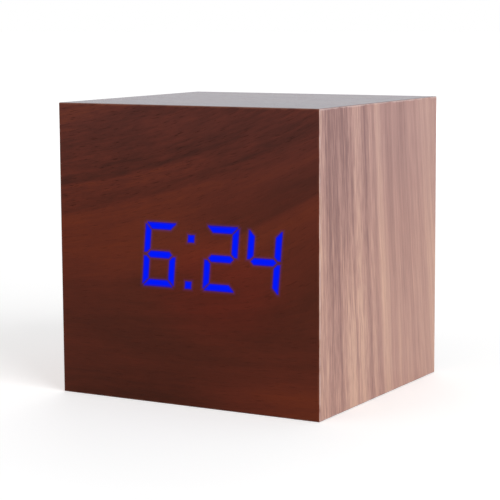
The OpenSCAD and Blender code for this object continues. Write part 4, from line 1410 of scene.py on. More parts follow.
class Workbench:
    """Steps of modelling by hand, on one mesh at a time, with its place in its mesh at the end."""

    merge_gap: float = 2e-6
    tip_merge: float = 1.2e-4
    straight: float = 0.999
    flat_deg: float = 1.0
    smooth_deg: float = 35.0
    foot_share: float = 0.62
    sunk_share: float = 0.85
    corner_steps: int = 3
    wire_steps: int = 3

    def choose(self, piece: Piece) -> None:
        """Makes a piece the only one selected.

        Args:
            piece: The piece.
        """
        bpy.ops.object.select_all(action="DESELECT")
        piece.select_set(True)
        bpy.context.view_layer.objects.active = piece

    def open_new(self, name: str) -> Piece:
        """Names the piece just added and opens it in edit mode, all selected.

        Args:
            name: Name of the piece.

        Returns:
            The piece.
        """
        piece = bpy.context.object
        piece.name = name
        piece.data.name = name
        bpy.ops.object.mode_set(mode="EDIT")
        bpy.ops.mesh.select_mode(type="VERT")
        bpy.ops.mesh.select_all(action="SELECT")
        return piece

    def close(self) -> None:
        """Merges doubles, points the faces outwards and leaves edit mode."""
        bpy.ops.mesh.select_all(action="SELECT")
        bpy.ops.mesh.remove_doubles(threshold=self.merge_gap)
        bpy.ops.mesh.normals_make_consistent(inside=False)
        bpy.ops.object.mode_set(mode="OBJECT")

    def settle(self, piece: Piece, place: Matrix) -> None:
        """Puts a piece where it belongs, with the place in its mesh, and smooths its round faces.

        Args:
            piece: The piece, modelled about the origin.
            place: Where it goes.
        """
        self.choose(piece)
        piece.matrix_world = place
        bpy.ops.object.transform_apply(location=True, rotation=True, scale=True)
        bpy.ops.object.shade_smooth_by_angle(angle=math.radians(self.smooth_deg))

    def copy(self, piece: Piece, name: str) -> Piece:
        """Copies a piece with its mesh.

        Args:
            piece: The piece to copy.
            name: Name of the copy.

        Returns:
            The copy.
        """
        self.choose(piece)
        bpy.ops.object.duplicate(linked=False)
        twin = bpy.context.object
        twin.name = name
        twin.data.name = name
        return twin

    def take_node(self, node: str, name: str) -> Piece:
        """Copies a CAD node, makes its flat faces whole, and leaves it open in edit mode, all selected.

        Args:
            node: Name of the node.
            name: Name of the copy.

        Returns:
            The copy.
        """
        piece = self.copy(frame["nodes"][node], name)
        del piece["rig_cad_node"]
        bpy.ops.mesh.customdata_custom_splitnormals_clear()
        bpy.ops.object.mode_set(mode="EDIT")
        bpy.ops.mesh.select_mode(type="VERT")
        self.close()
        bpy.ops.object.mode_set(mode="EDIT")
        bpy.ops.mesh.select_all(action="SELECT")
        bpy.ops.mesh.dissolve_limited(angle_limit=math.radians(self.flat_deg))
        bpy.ops.mesh.select_all(action="SELECT")
        return piece

    def mark(self, piece: Piece, name: str, share: float) -> None:
        """Writes a share in an attribute of the selected vertices, and leaves the piece in edit mode.

        Args:
            piece: The piece in edit mode.
            name: Name of the attribute, which starts as 0.
            share: The share to write.
        """
        bpy.ops.object.mode_set(mode="OBJECT")
        marks = piece.data.attributes.get(name) or piece.data.attributes.new(name, "FLOAT", "POINT")
        for vertex, spot in zip(piece.data.vertices, marks.data):
            if vertex.select:
                spot.value = share
        bpy.ops.object.mode_set(mode="EDIT")

    def line(self, name: str, points: Points) -> Piece:
        """Draws a line from point to point by extruding a single vertex, and leaves it open in edit mode.

        Args:
            name: Name of the piece.
            points: Points of the line in millimetres.

        Returns:
            The line.
        """
        bpy.ops.object.select_all(action="DESELECT")
        bpy.ops.mesh.primitive_plane_add(size=MM)
        piece = self.open_new(name)
        bpy.ops.mesh.merge(type="CENTER")
        places = [Vector(point) * MM for point in points]
        bpy.ops.transform.translate(value=places[0])
        for here, there in zip(places, places[1:]):
            bpy.ops.mesh.extrude_vertices_move(TRANSFORM_OT_translate={"value": there - here})
        return piece

    def turned(self, name: str, profile: Profile, steps: int = 48) -> Piece:
        """Turns a profile about the Z axis, as on a lathe.

        Args:
            name: Name of the piece.
            profile: Radii and heights in millimetres, from axis to axis.
            steps: Faces round the piece.

        Returns:
            The closed piece.
        """
        piece = self.line(name, [(radius, 0.0, height) for radius, height in profile])
        bpy.ops.mesh.select_all(action="SELECT")
        bpy.ops.mesh.spin(steps=steps, angle=math.tau, center=(0.0, 0.0, 0.0), axis=(0.0, 0.0, 1.0))
        self.close()
        return piece

    def wire(self, name: str, points: Points, diameter_mm: float) -> Piece:
        """Draws a line and gives it a round section with closed ends.

        Args:
            name: Name of the piece.
            points: Points of the line in millimetres.
            diameter_mm: Diameter of the section.

        Returns:
            The closed wire.
        """
        piece = self.line(name, points)
        bpy.ops.object.mode_set(mode="OBJECT")
        bpy.ops.object.convert(target="CURVE")
        piece.data.bevel_depth = diameter_mm / 2 * MM
        piece.data.bevel_resolution = self.wire_steps
        piece.data.use_fill_caps = True
        bpy.ops.object.convert(target="MESH")
        return piece

    def cross(self, name: str, length_mm: float, width_mm: float, top_mm: float, depth_mm: float) -> Piece:
        """Draws a cross with four arms and sinks it to a narrower foot.

        Args:
            name: Name of the piece.
            length_mm: Length across two arms.
            width_mm: Width of an arm.
            top_mm: Height of its flat top.
            depth_mm: How far it reaches down.

        Returns:
            The closed cross.
        """
        arm = (length_mm - width_mm) / 2 * MM
        bpy.ops.object.select_all(action="DESELECT")
        bpy.ops.mesh.primitive_plane_add(size=width_mm * MM)
        piece = self.open_new(name)
        bpy.ops.transform.translate(value=(0.0, 0.0, top_mm * MM))
        for way in (Vector((1, 0, 0)), Vector((-1, 0, 0)), Vector((0, 1, 0)), Vector((0, -1, 0))):
            self.pick_edges(piece, way, width_mm / 2 * MM)
            bpy.ops.mesh.extrude_edges_move(TRANSFORM_OT_translate={"value": way * arm})
        bpy.ops.mesh.select_all(action="SELECT")
        bpy.ops.mesh.extrude_region_move(TRANSFORM_OT_translate={"value": (0.0, 0.0, -depth_mm * MM)})
        foot = (0.0, 0.0, (top_mm - depth_mm) * MM)
        bpy.ops.transform.resize(value=(self.foot_share, self.foot_share, 1.0), center_override=foot)
        self.close()
        return piece

    def pick_edges(self, piece: Piece, way: Vector, reach: float) -> None:
        """Selects the edges whose middle lies straight along a way, at a distance from the axis.

        Args:
            piece: The piece in edit mode.
            way: The way, of length 1.
            reach: Distance of the edges from the axis.
        """
        bpy.ops.mesh.select_all(action="DESELECT")
        bpy.ops.object.mode_set(mode="OBJECT")
        for edge in piece.data.edges:
            ends = [piece.data.vertices[index].co for index in edge.vertices]
            middle = (ends[0] + ends[1]) / 2
            flat = Vector((middle.x, middle.y, 0.0))
            edge.select = (flat - way * reach).length < self.merge_gap
        bpy.ops.object.mode_set(mode="EDIT")
        bpy.ops.mesh.select_mode(type="EDGE")

    def pick_faces(self, piece: Piece, way: Vector) -> None:
        """Selects the faces that look along a way, and leaves the piece in edit mode.

        Args:
            piece: The piece in edit mode.
            way: The way, of length 1.
        """
        bpy.ops.mesh.select_all(action="DESELECT")
        bpy.ops.object.mode_set(mode="OBJECT")
        for face in piece.data.polygons:
            face.select = face.normal.dot(way) > self.straight
        bpy.ops.object.mode_set(mode="EDIT")
        bpy.ops.mesh.select_mode(type="FACE")

    def pick_below(self, piece: Piece, height: float) -> None:
        """Selects the vertices below a height, and leaves the piece in edit mode.

        Args:
            piece: The piece in edit mode.
            height: The height.
        """
        bpy.ops.mesh.select_all(action="DESELECT")
        bpy.ops.object.mode_set(mode="OBJECT")
        for vertex in piece.data.vertices:
            vertex.select = vertex.co.z < height
        bpy.ops.object.mode_set(mode="EDIT")

    def cut(self, piece: Piece, cutter: Piece) -> None:
        """Cuts one piece out of another, and throws the cutter away.

        Args:
            piece: The piece to cut.
            cutter: What is cut out of it.
        """
        self.choose(piece)
        bpy.ops.object.modifier_add(type="BOOLEAN")
        modifier = piece.modifiers[-1]
        modifier.operation = "DIFFERENCE"
        modifier.object = cutter
        bpy.ops.object.modifier_apply(modifier=modifier.name)
        bpy.data.objects.remove(cutter)

    def flatten(self, piece: Piece, share: float) -> None:
        """Presses a piece flat along Z.

        Args:
            piece: The piece, modelled about the origin.
            share: Share of its thickness that is left.
        """
        self.choose(piece)
        bpy.ops.object.mode_set(mode="EDIT")
        bpy.ops.mesh.select_all(action="SELECT")
        bpy.ops.transform.resize(value=(1.0, 1.0, share), center_override=(0.0, 0.0, 0.0))
        self.close()

    def triangle(
        self, name: str, radius_mm: float, round_mm: float, thick_mm: float, rim_mm: float = 0.0
    ) -> Piece:
        """Draws a triangle with round corners that points along +Y, and raises it from Z = 0.

        Args:
            name: Name of the piece.
            radius_mm: Distance of its sharp corners from its middle.
            round_mm: How much is taken off at each corner.
            thick_mm: Height of the raised face.
            rim_mm: Width of the rim that stands round a sunk middle, or 0 for a flat face.

        Returns:
            The closed triangle.
        """
        bpy.ops.object.select_all(action="DESELECT")
        bpy.ops.mesh.primitive_circle_add(vertices=3, radius=radius_mm * MM, fill_type="NGON")
        piece = self.open_new(name)
        bpy.ops.mesh.bevel(offset=round_mm * MM, segments=self.corner_steps, affect="VERTICES")
        bpy.ops.mesh.select_all(action="SELECT")
        bpy.ops.mesh.extrude_region_move(TRANSFORM_OT_translate={"value": (0.0, 0.0, thick_mm * MM)})
        if rim_mm:
            bpy.ops.mesh.inset(thickness=rim_mm * MM)
            bpy.ops.transform.translate(value=(0.0, 0.0, -self.sunk_share * thick_mm * MM))
        self.close()
        return piece

    def letters(self, name: str, text: str, size_mm: float, thick_mm: float) -> Piece:
        """Writes a word about the origin as a mesh, from Z = 0 up.

        Args:
            name: Name of the piece.
            text: The word.
            size_mm: Size of the letters.
            thick_mm: Thickness of the mesh.

        Returns:
            The closed mesh.
        """
        bpy.ops.object.select_all(action="DESELECT")
        bpy.ops.object.text_add()
        piece = bpy.context.object
        piece.name = name
        piece.data.body = text
        piece.data.align_x = "CENTER"
        piece.data.align_y = "CENTER"
        piece.data.size = size_mm * MM
        piece.data.extrude = thick_mm / 2 * MM
        bpy.ops.object.convert(target="MESH")
        piece.data.name = name
        bpy.ops.object.mode_set(mode="EDIT")
        bpy.ops.mesh.select_all(action="SELECT")
        bpy.ops.transform.translate(value=(0.0, 0.0, thick_mm / 2 * MM))
        self.close()
        return piece


BENCH = Workbench()


def fit(piece: Piece, finish: Finish, body: Body, slot: Slot, *replaced: str) -> None:
    """Gives a modelled piece its finish and puts it on a body.

    Args:
        piece: The piece in its place.
        finish: The finish to use.
        body: The body that it moves with.
        slot: The record's slot that it belongs to; it is not used.
        replaced: CAD nodes that it stands for.
    """
    piece.data.materials.clear()
    piece.data.materials.append(finish.make())
    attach(piece, body.value)
    if replaced:
        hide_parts(*replaced)
    LOG.info("%s rides on %s with the finish %s", piece.name, body.value, finish.name)


def aimed(axis: Axis, sense: float, place: Vector) -> Matrix:
    """Aims a place along an axis of the frame, with its own X axis to the rear or up.

    Args:
        axis: The axis that the place's own Z axis lies along.
        sense: 1 to point along the axis, -1 to point against it.
        place: The place's origin.

    Returns:
        The place.
    """
    forward = Vector((0.0, 0.0, 0.0))
    forward[axis.value] = sense
    side = Vector((0.0, 0.0, 1.0)) if axis is Axis.Y else Vector((0.0, 1.0, 0.0))
    return Matrix.Translation(place) @ Matrix((side, forward.cross(side), forward)).transposed().to_4x4()


def middle_of(node: str) -> Vector:
    """Returns the middle of a CAD node's box."""
    low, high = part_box(node)
    return (low + high) / 2


@dataclass
class VeneeredCase:
    """The mitred case: veneers, the boards under them, the rear edging and the glue blocks."""

    sides: tuple[str, ...] = ("left", "right")
    boards: tuple[str, ...] = ("front", "top", "bottom", "left", "right")

    def build(self) -> None:
        """Gives each veneer its own cut of wood, the front with painted shade and the sides with painted light,
        and the boards raw fibre.
        """
        dress(SHADED_FRONT_WOOD, "front_veneer")
        dress(LIT_SIDE_WOOD, *(f"{side}_veneer" for side in self.sides))
        dress(TOP_WOOD, "top_veneer", "bottom_veneer")
        dress(EDGING_WOOD, "rear_edging")
        dress(RAW_BOARD, "corner_blocks", *(f"{board}_board" for board in self.boards))


@dataclass
class Display:
    """The segment display: light bars, their baffle and the chips behind them."""

    rims: Pairs = ((0.15, 0.5), (0.25, 0.95))
    proud_mm: float = 0.04
    glow_reach_mm: float = 0.75
    glow_rise_mm: float = 0.015
    skin_share: float = 0.002
    skin_lift_mm: float = 0.01
    lower_lift_mm: float = 0.004

    def build(self) -> None:
        """Lights the bars of the shown time and leaves the others milky."""
        self.light_veneer()
        self.light_bars()
        dress(DARK_BAR, "dark_segments")
        dress(WHITE_PLASTIC, "light_baffle")
        dress(LED_RESIN, "led_chips")

    def light_bars(self) -> None:
        """Models the lit bars, a hair proud of the veneer, with dimmer rims inset in their faces."""
        bars = BENCH.take_node("lit_segments", "lit_bars")
        BENCH.pick_faces(bars, FORWARD)
        bpy.ops.transform.translate(value=FORWARD * self.proud_mm * MM)
        for rim_mm, share in self.rims:
            bpy.ops.mesh.inset(thickness=rim_mm * MM)
            bpy.ops.mesh.remove_doubles(threshold=BENCH.tip_merge)
            BENCH.mark(bars, LIT_BAR.core_name, share)
        bpy.ops.object.mode_set(mode="OBJECT")
        fit(bars, LIT_BAR, Body.CASE, Slot.LIT_SEGMENT, "lit_segments")

    def light_veneer(self) -> None:
        """Models a skin of veneer round each lit bar, where its light spreads and fades out."""
        skin = BENCH.take_node("lit_segments", "lit_veneer")
        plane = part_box("lit_segments")[0] * Vector((0.0, 1.0, 0.0))
        bpy.ops.transform.resize(value=(1.0, self.skin_share, 1.0), center_override=plane)
        bpy.ops.transform.translate(value=FORWARD * self.skin_lift_mm * MM)
        # The skins of upper and lower posts would overlap in one plane, so the lower ones stand higher.
        BENCH.pick_below(skin, middle_of("lit_segments").z)
        bpy.ops.transform.translate(value=FORWARD * self.lower_lift_mm * MM)
        BENCH.pick_faces(skin, FORWARD)
        bpy.ops.mesh.extrude_region_move(TRANSFORM_OT_translate={"value": FORWARD * self.glow_rise_mm * MM})
        BENCH.mark(skin, SHADED_FRONT_WOOD.glow_name, 1.0)
        bpy.ops.mesh.select_mode(type="VERT")
        bpy.ops.mesh.select_all(action="INVERT")
        bpy.ops.transform.shrink_fatten(value=self.glow_reach_mm * MM, use_even_offset=True)
        bpy.ops.object.mode_set(mode="OBJECT")
        fit(skin, SHADED_FRONT_WOOD, Body.CASE, Slot.WALNUT_VENEER)


@dataclass
class Electronics:
    """The main board and the button board with all that stands on them."""

    def build(self) -> None:
        """Gives boards, packages, cans and screws their finishes."""
        dress(CIRCUIT, "main_board", "button_board")
        dress(CHIP_RESIN, "clock_chip", "resistors", "buzzer", "set_switch", "up_switch", "down_switch")
        dress(NICKEL, "crystal", "capacitor", "sound_sensor")
        dress(WHITE_PLASTIC, "power_plug", "button_plug")
        dress(ZINC, "board_screws", "button_board_screws")
        dress(PLUNGER_PLASTIC, "set_plunger", "up_plunger", "down_plunger")


@dataclass
class BackCover:
    """The back moulding with its door, buttons, inlet, screws and signs."""

    head_r_mm: float = 1.8
    head_h_mm: float = 1.2
    head_edge_mm: float = 0.08
    dome_h_mm: float = 0.65
    dome_shares: tuple[float, ...] = (1.0, 0.9, 0.75, 0.55, 0.3, 0.0)
    shank_r_mm: float = 0.9
    collar_mm: float = 0.4
    root_r_mm: float = 0.68
    thread_pitch_mm: float = 0.8
    thread_rises_mm: Triple = (0.3, 0.5, 0.7)
    point_r_mm: float = 0.25
    point_h_mm: float = 0.05
    taper_mm: float = 0.8
    recess_l_mm: float = 2.16
    recess_w_mm: float = 0.5
    recess_depth_mm: float = 0.8
    cut_over_mm: float = 0.1
    first_turn_deg: float = 17.0
    next_turn_deg: float = 31.0
    ink_mm: float = 0.03
    word_mm: float = 1.9
    sign_r_mm: float = 0.8
    sign_round_mm: float = 0.12
    sign_rise_mm: float = 3.55
    ring_r_mm: float = 0.75
    ring_gap_deg: float = 45.0
    ring_steps: int = 15
    dot_mm: float = 0.42
    dot_half_mm: float = 0.12
    stroke_mm: float = 0.2
    line_from_mm: float = 0.25
    line_to_mm: float = 1.7
    pole_at_mm: float = 2.5
    pole_half_mm: float = 0.4
    polarity_off_mm: float = 8.0
    arrow_r_mm: float = 2.3
    arrow_round_mm: float = 0.25
    arrow_h_mm: float = 0.45
    arrow_rim_mm: float = 0.45
    arrow_drop_mm: float = 11.6

    def build(self) -> None:
        """Models what stands on the moulding, then dresses the moulding."""
        self.fit_screws()
        self.print_signs()
        self.mark_door()
        self.dress_mouldings()

    def screw_profile(self, length_mm: float) -> Profile:
        """Works out a screw's outline from its tip to the top of its domed head, which is at height 0.

        Args:
            length_mm: Length of the whole screw.

        Returns:
            Radii and heights.
        """
        tip, seat = -length_mm, -self.head_h_mm
        profile = [(0.0, tip), (self.point_r_mm, tip + self.point_h_mm)]
        profile.append((self.root_r_mm, tip + self.taper_mm))
        turns = int((length_mm - self.head_h_mm - 2 * self.taper_mm) / self.thread_pitch_mm)
        thread_radii = (self.root_r_mm, self.shank_r_mm, self.root_r_mm)
        for turn in range(turns):
            foot = tip + self.taper_mm + turn * self.thread_pitch_mm
            profile += [(radius, foot + rise) for radius, rise in zip(thread_radii, self.thread_rises_mm)]
        profile.append((self.shank_r_mm, seat - self.collar_mm))
        profile.append((self.shank_r_mm, seat))
        profile.append((self.head_r_mm - self.head_edge_mm, seat))
        profile.append((self.head_r_mm, seat + self.head_edge_mm))
        dome_r = (self.head_r_mm**2 + self.dome_h_mm**2) / (2 * self.dome_h_mm)
        for share in self.dome_shares:
            radius = self.head_r_mm * share
            profile.append((radius, math.sqrt(dome_r**2 - radius**2) - dome_r))
        return profile

    def fit_screws(self) -> None:
        """Models one pan-head screw with a cross recess and copies it to the four corners."""
        low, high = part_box("cover_screws")
        inset = self.head_r_mm * MM
        screw = BENCH.turned("cover_screw_1", self.screw_profile((high.y - low.y) / MM))
        over_mm = self.cut_over_mm
        depth_mm = self.recess_depth_mm + over_mm
        recess = BENCH.cross("recess_cutter", self.recess_l_mm, self.recess_w_mm, over_mm, depth_mm)
        BENCH.cut(screw, recess)
        corners = [(x, z) for z in (low.z + inset, high.z - inset) for x in (low.x + inset, high.x - inset)]
        numbers = range(2, len(corners) + 1)
        twins = [screw] + [BENCH.copy(screw, f"cover_screw_{number}") for number in numbers]
        for number, (twin, (x, z)) in enumerate(zip(twins, corners)):
            turn_deg = self.first_turn_deg + self.next_turn_deg * number
            turned = Matrix.Rotation(math.radians(turn_deg), 4, "Z")
            BENCH.settle(twin, aimed(Axis.Y, 1.0, Vector((x, high.y, z))) @ turned)
            fit(twin, ZINC, Body.CASE, Slot.SCREW_STEEL, "cover_screws")

    def face(self, x: float, z: float) -> Matrix:
        """Finds a place on the outer face of the cover, for a sign that is read from behind.

        Args:
            x: The place's distance along X.
            z: Its height.

        Returns:
            The place.
        """
        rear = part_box("back_cover")[1].y
        axes = Matrix(((-1.0, 0.0, 0.0), (0.0, 0.0, 1.0), (0.0, 1.0, 0.0))).transposed().to_4x4()
        return Matrix.Translation((x, rear, z)) @ axes

    def print_signs(self) -> None:
        """Prints a word or a triangle above each button and a polarity sign beside the inlet."""
        signs = {
            "set_button": BENCH.letters("set_sign", "SET", self.word_mm, self.ink_mm),
            "up_button": BENCH.triangle("up_sign", self.sign_r_mm, self.sign_round_mm, self.ink_mm),
            "down_button": BENCH.triangle("down_sign", self.sign_r_mm, self.sign_round_mm, self.ink_mm),
        }
        for button, sign in signs.items():
            middle = middle_of(button)
            turned = Matrix.Rotation(math.pi if button == "down_button" else 0.0, 4, "Z")
            BENCH.settle(sign, self.face(middle.x, middle.z + self.sign_rise_mm * MM) @ turned)
            fit(sign, WHITE_INK, Body.CASE, Slot.WHITE_MOULDING)
        self.print_polarity()

    def open_ring(self) -> Points:
        """Works out a ring that is open towards +X.

        Returns:
            Points along the ring.
        """
        step_deg = (360.0 - 2 * self.ring_gap_deg) / self.ring_steps
        turns = [math.radians(self.ring_gap_deg + step_deg * step) for step in range(self.ring_steps + 1)]
        return [(self.ring_r_mm * math.cos(turn), self.ring_r_mm * math.sin(turn), 0.0) for turn in turns]

    def level(self, start_mm: float, end_mm: float) -> Points:
        """Returns the two ends of a line along X."""
        return [(start_mm, 0.0, 0.0), (end_mm, 0.0, 0.0)]

    def print_polarity(self) -> None:
        """Prints the sign of an inlet with a positive pin: a dot in an open ring, between minus and plus."""
        inlet = middle_of("dc_jack")
        pole, half = self.pole_at_mm, self.pole_half_mm
        lines = {
            "inlet_ring_sign": self.open_ring(),
            "inlet_dot_sign": self.level(-self.dot_half_mm, self.dot_half_mm),
            "inlet_right_line_sign": self.level(self.line_from_mm, self.line_to_mm),
            "inlet_left_line_sign": self.level(-self.ring_r_mm, -self.line_to_mm),
            "inlet_plus_bar_sign": self.level(pole - half, pole + half),
            "inlet_plus_post_sign": [(pole, -half, 0.0), (pole, half, 0.0)],
            "inlet_minus_sign": self.level(-pole - half, half - pole),
        }
        place = self.face(inlet.x + self.polarity_off_mm * MM, inlet.z)
        for name, points in lines.items():
            width_mm = self.dot_mm if name == "inlet_dot_sign" else self.stroke_mm
            sign = BENCH.wire(name, points, width_mm)
            BENCH.flatten(sign, 2 * self.ink_mm / width_mm)
            BENCH.settle(sign, place)
            fit(sign, WHITE_INK, Body.CASE, Slot.WHITE_MOULDING)

    def mark_door(self) -> None:
        """Moulds an arrow on the door below its latch, which shows the way to press."""
        sizes_mm = (self.arrow_r_mm, self.arrow_round_mm, self.arrow_h_mm, self.arrow_rim_mm)
        arrow = BENCH.triangle("door_arrow", *sizes_mm)
        _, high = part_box("battery_door")
        place = self.face(0.0, high.z - self.arrow_drop_mm * MM) @ Matrix.Rotation(math.pi, 4, "Z")
        BENCH.settle(arrow, place)
        fit(arrow, BLACK_PLASTIC, Body.DOOR, Slot.BLACK_COVER)

    def dress_mouldings(self) -> None:
        """Gives the mouldings a spark texture and the metal its plating."""
        dress(BLACK_PLASTIC, "back_cover", "battery_door", "dc_jack")
        dress(BUTTON_PLASTIC, "set_button", "up_button", "down_button")
        dress(NICKEL, "dc_jack_pin", "dc_jack_lugs")


@dataclass
class BatteryBay:
    """The cells, springs, contact plates and leads."""

    rows: int = 3
    turned_row: int = 2
    cell_r_mm: float = 5.25
    cell_l_mm: float = 44.5
    cell_steps: int = 64
    wire_mm: float = 0.5
    wide_r_mm: float = 3.6
    narrow_r_mm: float = 1.9
    curls: float = 3.5
    curl_points: int = 24
    core_pitch_mm: float = 1.0
    ribbon_grey: Colour = (0.26, 0.26, 0.27)
    ribbon_red: Colour = (0.4, 0.01, 0.01)

    def build(self) -> None:
        """Models the cells and springs row by row, then dresses the contacts and leads."""
        for row in range(1, self.rows + 1):
            self.fit_cell(row)
            self.fit_spring(row)
        self.dress_contacts()

    def cap_side(self, row: int) -> float:
        """Returns the end where a row's cap is: 1 for +X in the turned row, -1 for -X in the others."""
        return 1.0 if row == self.turned_row else -1.0

    def cell_profile(self) -> Profile:
        """Works out a cell's outline from its flat foot at height 0 to its cap.

        Returns:
            Radii and heights.
        """
        wall, length = self.cell_r_mm, self.cell_l_mm
        foot = [(0.0, 0.0), (3.3, 0.0), (3.45, 0.12), (3.6, 0.12), (3.75, 0.0), (4.45, 0.0)]
        sleeve_foot = [(4.5, 0.1), (4.85, 0.12), (wall - 0.15, 0.3), (wall, 0.7)]
        sleeve_head = [(wall, length - 2.1), (wall - 0.12, length - 1.75), (wall - 0.5, length - 1.55)]
        shoulder = [(4.3, length - 1.5), (4.2, length - 1.42), (4.1, length - 1.05), (3.9, length - 1.0)]
        seal = [(2.6, length - 1.0), (2.45, length - 1.1), (2.1, length - 1.1)]
        cap = [(1.9, length - 0.95), (1.86, length - 0.3), (1.75, length - 0.1), (1.5, length), (0.0, length)]
        return foot + sleeve_foot + sleeve_head + shoulder + seal + cap

    def fit_cell(self, row: int) -> None:
        """Turns a cell and lays it in its row.

        Args:
            row: Number of the row, from 1.
        """
        node = f"battery_cell_{row}"
        low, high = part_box(node)
        middle = middle_of(node)
        side = self.cap_side(row)
        foot = Vector((low.x if side > 0 else high.x, middle.y, middle.z))
        cell = BENCH.turned(f"cell_{row}", self.cell_profile(), self.cell_steps)
        BENCH.settle(cell, aimed(Axis.X, side, foot))
        sleeve = SleeveFinish(
            name=f"cell_sleeve_{row}",
            cap_side=side,
            middle_mm=tuple(middle / MM),
            wall_mm=self.cell_r_mm,
            half_mm=self.cell_l_mm / 2,
        )
        fit(cell, sleeve, Body.CASE, Slot.CELL_SLEEVE, node)

    def fit_spring(self, row: int) -> None:
        """Winds a spring that stands on its contact plate and narrows towards the cell.

        Args:
            row: Number of the row, from 1.
        """
        node = f"battery_spring_{row}"
        low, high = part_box(node)
        axis = middle_of(f"battery_cell_{row}")
        side = -self.cap_side(row)
        run_mm = (high.x - low.x) / MM - self.wire_mm
        steps = int(self.curls * self.curl_points)
        points = []
        for step in range(steps + 1):
            share = step / steps
            radius = self.wide_r_mm + (self.narrow_r_mm - self.wide_r_mm) * share
            turn = math.tau * step / self.curl_points
            points.append((radius * math.cos(turn), radius * math.sin(turn), run_mm * share))
        start_x = high.x - self.wire_mm / 2 * MM if side > 0 else low.x + self.wire_mm / 2 * MM
        spring = BENCH.wire(f"contact_spring_{row}", points, self.wire_mm)
        BENCH.settle(spring, aimed(Axis.X, -side, Vector((start_x, axis.y, axis.z))))
        fit(spring, NICKEL, Body.CASE, Slot.BRIGHT_METAL, node)

    def dress_contacts(self) -> None:
        """Gives the contacts their plating and the leads their insulation."""
        dress(NICKEL, "positive_plate", "negative_plate", "left_link_plate", "right_link_plate")
        dress(RED_LEAD, "battery_lead_red", "jack_lead_red")
        dress(BLACK_LEAD, "battery_lead_black", "jack_lead_black")
        low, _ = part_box("button_ribbon")
        ribbon = InsulationFinish(
            name="grey_ribbon_cable",
            colour=self.ribbon_grey,
            stripe=self.ribbon_red,
            stripe_below_mm=low.x / MM + self.core_pitch_mm,
            rib_mm=self.core_pitch_mm,
        )
        dress(ribbon, "button_ribbon")


@dataclass
class PhotoCamera:
    """The camera at the photograph's viewing angle, fitted to the corners of the case."""

    azimuth_deg: float = 29.755
    elevation_deg: float = 7.424
    roll_deg: float = -0.318
    distance: float = 0.38239
    lens_mm: float = 126.4
    sensor_mm: float = 36.0
    shift_x: float = -0.0057
    shift_y: float = -0.0164
    nearest: float = 0.01
    farthest: float = 50.0

    def build(self) -> None:
        """Adds the camera and makes it the scene's."""
        angles_deg = (self.azimuth_deg, self.elevation_deg, self.roll_deg)
        azimuth, elevation, roll = (math.radians(angle) for angle in angles_deg)
        flat = math.cos(elevation)
        back = Vector((math.sin(azimuth) * flat, -math.cos(azimuth) * flat, math.sin(elevation)))
        right = Vector((math.cos(azimuth), math.sin(azimuth), 0.0))
        up = back.cross(right)
        turned_right = math.cos(roll) * right + math.sin(roll) * up
        turned_up = math.cos(roll) * up - math.sin(roll) * right
        bpy.ops.object.camera_add()
        camera = bpy.context.object
        camera.name = "photo_camera"
        axes = Matrix((turned_right, turned_up, back)).transposed().to_4x4()
        camera.matrix_world = Matrix.Translation(CASE_MIDDLE + back * self.distance) @ axes
        camera.data.sensor_width = self.sensor_mm
        camera.data.lens = self.lens_mm
        camera.data.shift_x = self.shift_x
        camera.data.shift_y = self.shift_y
        camera.data.clip_start = self.nearest
        camera.data.clip_end = self.farthest
        bpy.context.scene.camera = camera


@dataclass(frozen=True)
class Softbox:
    """A square area lamp that points at the middle of the case."""

    name: str
    place: Triple
    side: float
    watts: float
    mirrored: bool = True

    def build(self) -> None:
        """Adds the lamp."""
        bpy.ops.object.light_add(type="AREA", location=self.place)
        lamp = bpy.context.object
        lamp.name = self.name
        lamp.data.shape = "SQUARE"
        lamp.data.size = self.side
        lamp.data.energy = self.watts
        lamp.visible_glossy = self.mirrored
        lamp.rotation_euler = (Vector(self.place) - CASE_MIDDLE).to_track_quat("Z", "Y").to_euler()


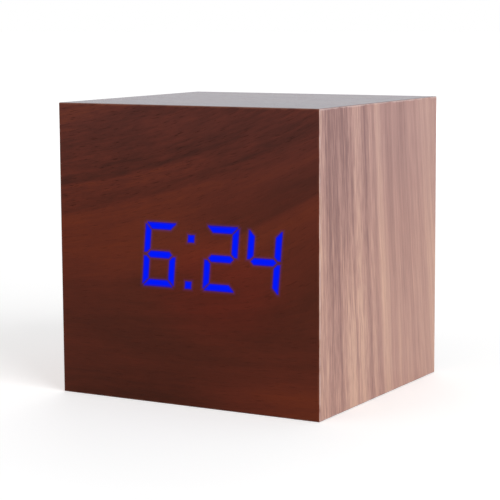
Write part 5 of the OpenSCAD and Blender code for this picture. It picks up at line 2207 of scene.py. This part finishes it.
@dataclass
class Studio:
    """A plain pale floor, soft lamps and a white surround."""

    floor_side: float = 12.0
    floor_colour: Colour = (0.86, 0.86, 0.86)
    floor_roughness: float = 0.9
    grain_scale: float = 9.0
    grain_gain: float = 1.01
    floor_lift: float = 0.33
    far_lift: float = 0.66
    near: float = 0.12
    far: float = 1.5
    ambient: float = 0.42
    lamps: tuple[Softbox, ...] = (
        Softbox("key_softbox", (0.75, -0.3, 0.55), side=0.6, watts=5.2, mirrored=False),
        Softbox("fill_softbox", (-0.6, -0.8, 0.5), side=0.7, watts=1.6),
        Softbox("rear_softbox", (-0.35, 0.85, 0.6), side=0.7, watts=2.6, mirrored=False),
    )

    def build(self) -> None:
        """Adds the floor, the lamps and the world."""
        bpy.context.scene.view_settings.view_transform = "Standard"
        self.lay_floor()
        for lamp in self.lamps:
            lamp.build()
        self.light_world()

    def seen(self, graph: Graph) -> Socket:
        """Picks the rays that show the background: from the camera, off gloss and through glass.

        Args:
            graph: The tree of the floor's material or the world.

        Returns:
            1 for such rays and 0 for others.
        """
        path = graph.node("LightPath").outputs
        straight = graph.larger(path["Is Camera Ray"], path["Is Glossy Ray"])
        return graph.larger(straight, path["Is Transmission Ray"])

    def lay_floor(self) -> None:
        """Adds a pale floor that keeps the shadow and reads as white out to the horizon."""
        bpy.ops.mesh.primitive_plane_add(size=self.floor_side)
        floor = bpy.context.object
        floor.name = "studio_floor"
        material = bpy.data.materials.new("pale_floor")
        material.use_nodes = True
        graph = Graph(material.node_tree)
        shader = material.node_tree.nodes["Principled BSDF"]
        place = graph.node("TexCoord").outputs["Object"]
        grain = graph.noise(place, scale=self.grain_scale, detail=3.0)
        lift = graph.between(graph.length(place), self.near, self.far, self.floor_lift, self.far_lift)
        graph.feed_all(
            shader,
            Base_Color=graph.mix(grain, self.floor_colour, shaded(self.floor_colour, self.grain_gain)),
            Roughness=self.floor_roughness,
            Specular_IOR_Level=0.0,
            Emission_Color=WHITE,
            Emission_Strength=graph.times(self.seen(graph), lift),
        )
        floor.data.materials.append(material)

    def light_world(self) -> None:
        """Lights the object softly from all round, and shows white behind it."""
        world = bpy.data.worlds.new("white_surround")
        world.use_nodes = True
        bpy.context.scene.world = world
        graph = Graph(world.node_tree)
        background = world.node_tree.nodes["Background"]
        strength = graph.scaled(self.seen(graph), 1.0 - self.ambient, self.ambient)
        graph.feed_all(background, Color=WHITE, Strength=strength)


def main() -> None:
    """Sets the camera and the studio, then builds the clock's looks from the outside in."""
    logging.basicConfig(level=logging.INFO, format="%(name)s: %(message)s")
    bpy.ops.object.select_all(action="DESELECT")
    PhotoCamera().build()
    Studio().build()
    for assembly in (VeneeredCase(), Display(), Electronics(), BackCover(), BatteryBay()):
        assembly.build()


if __name__ == "__main__":
    main()
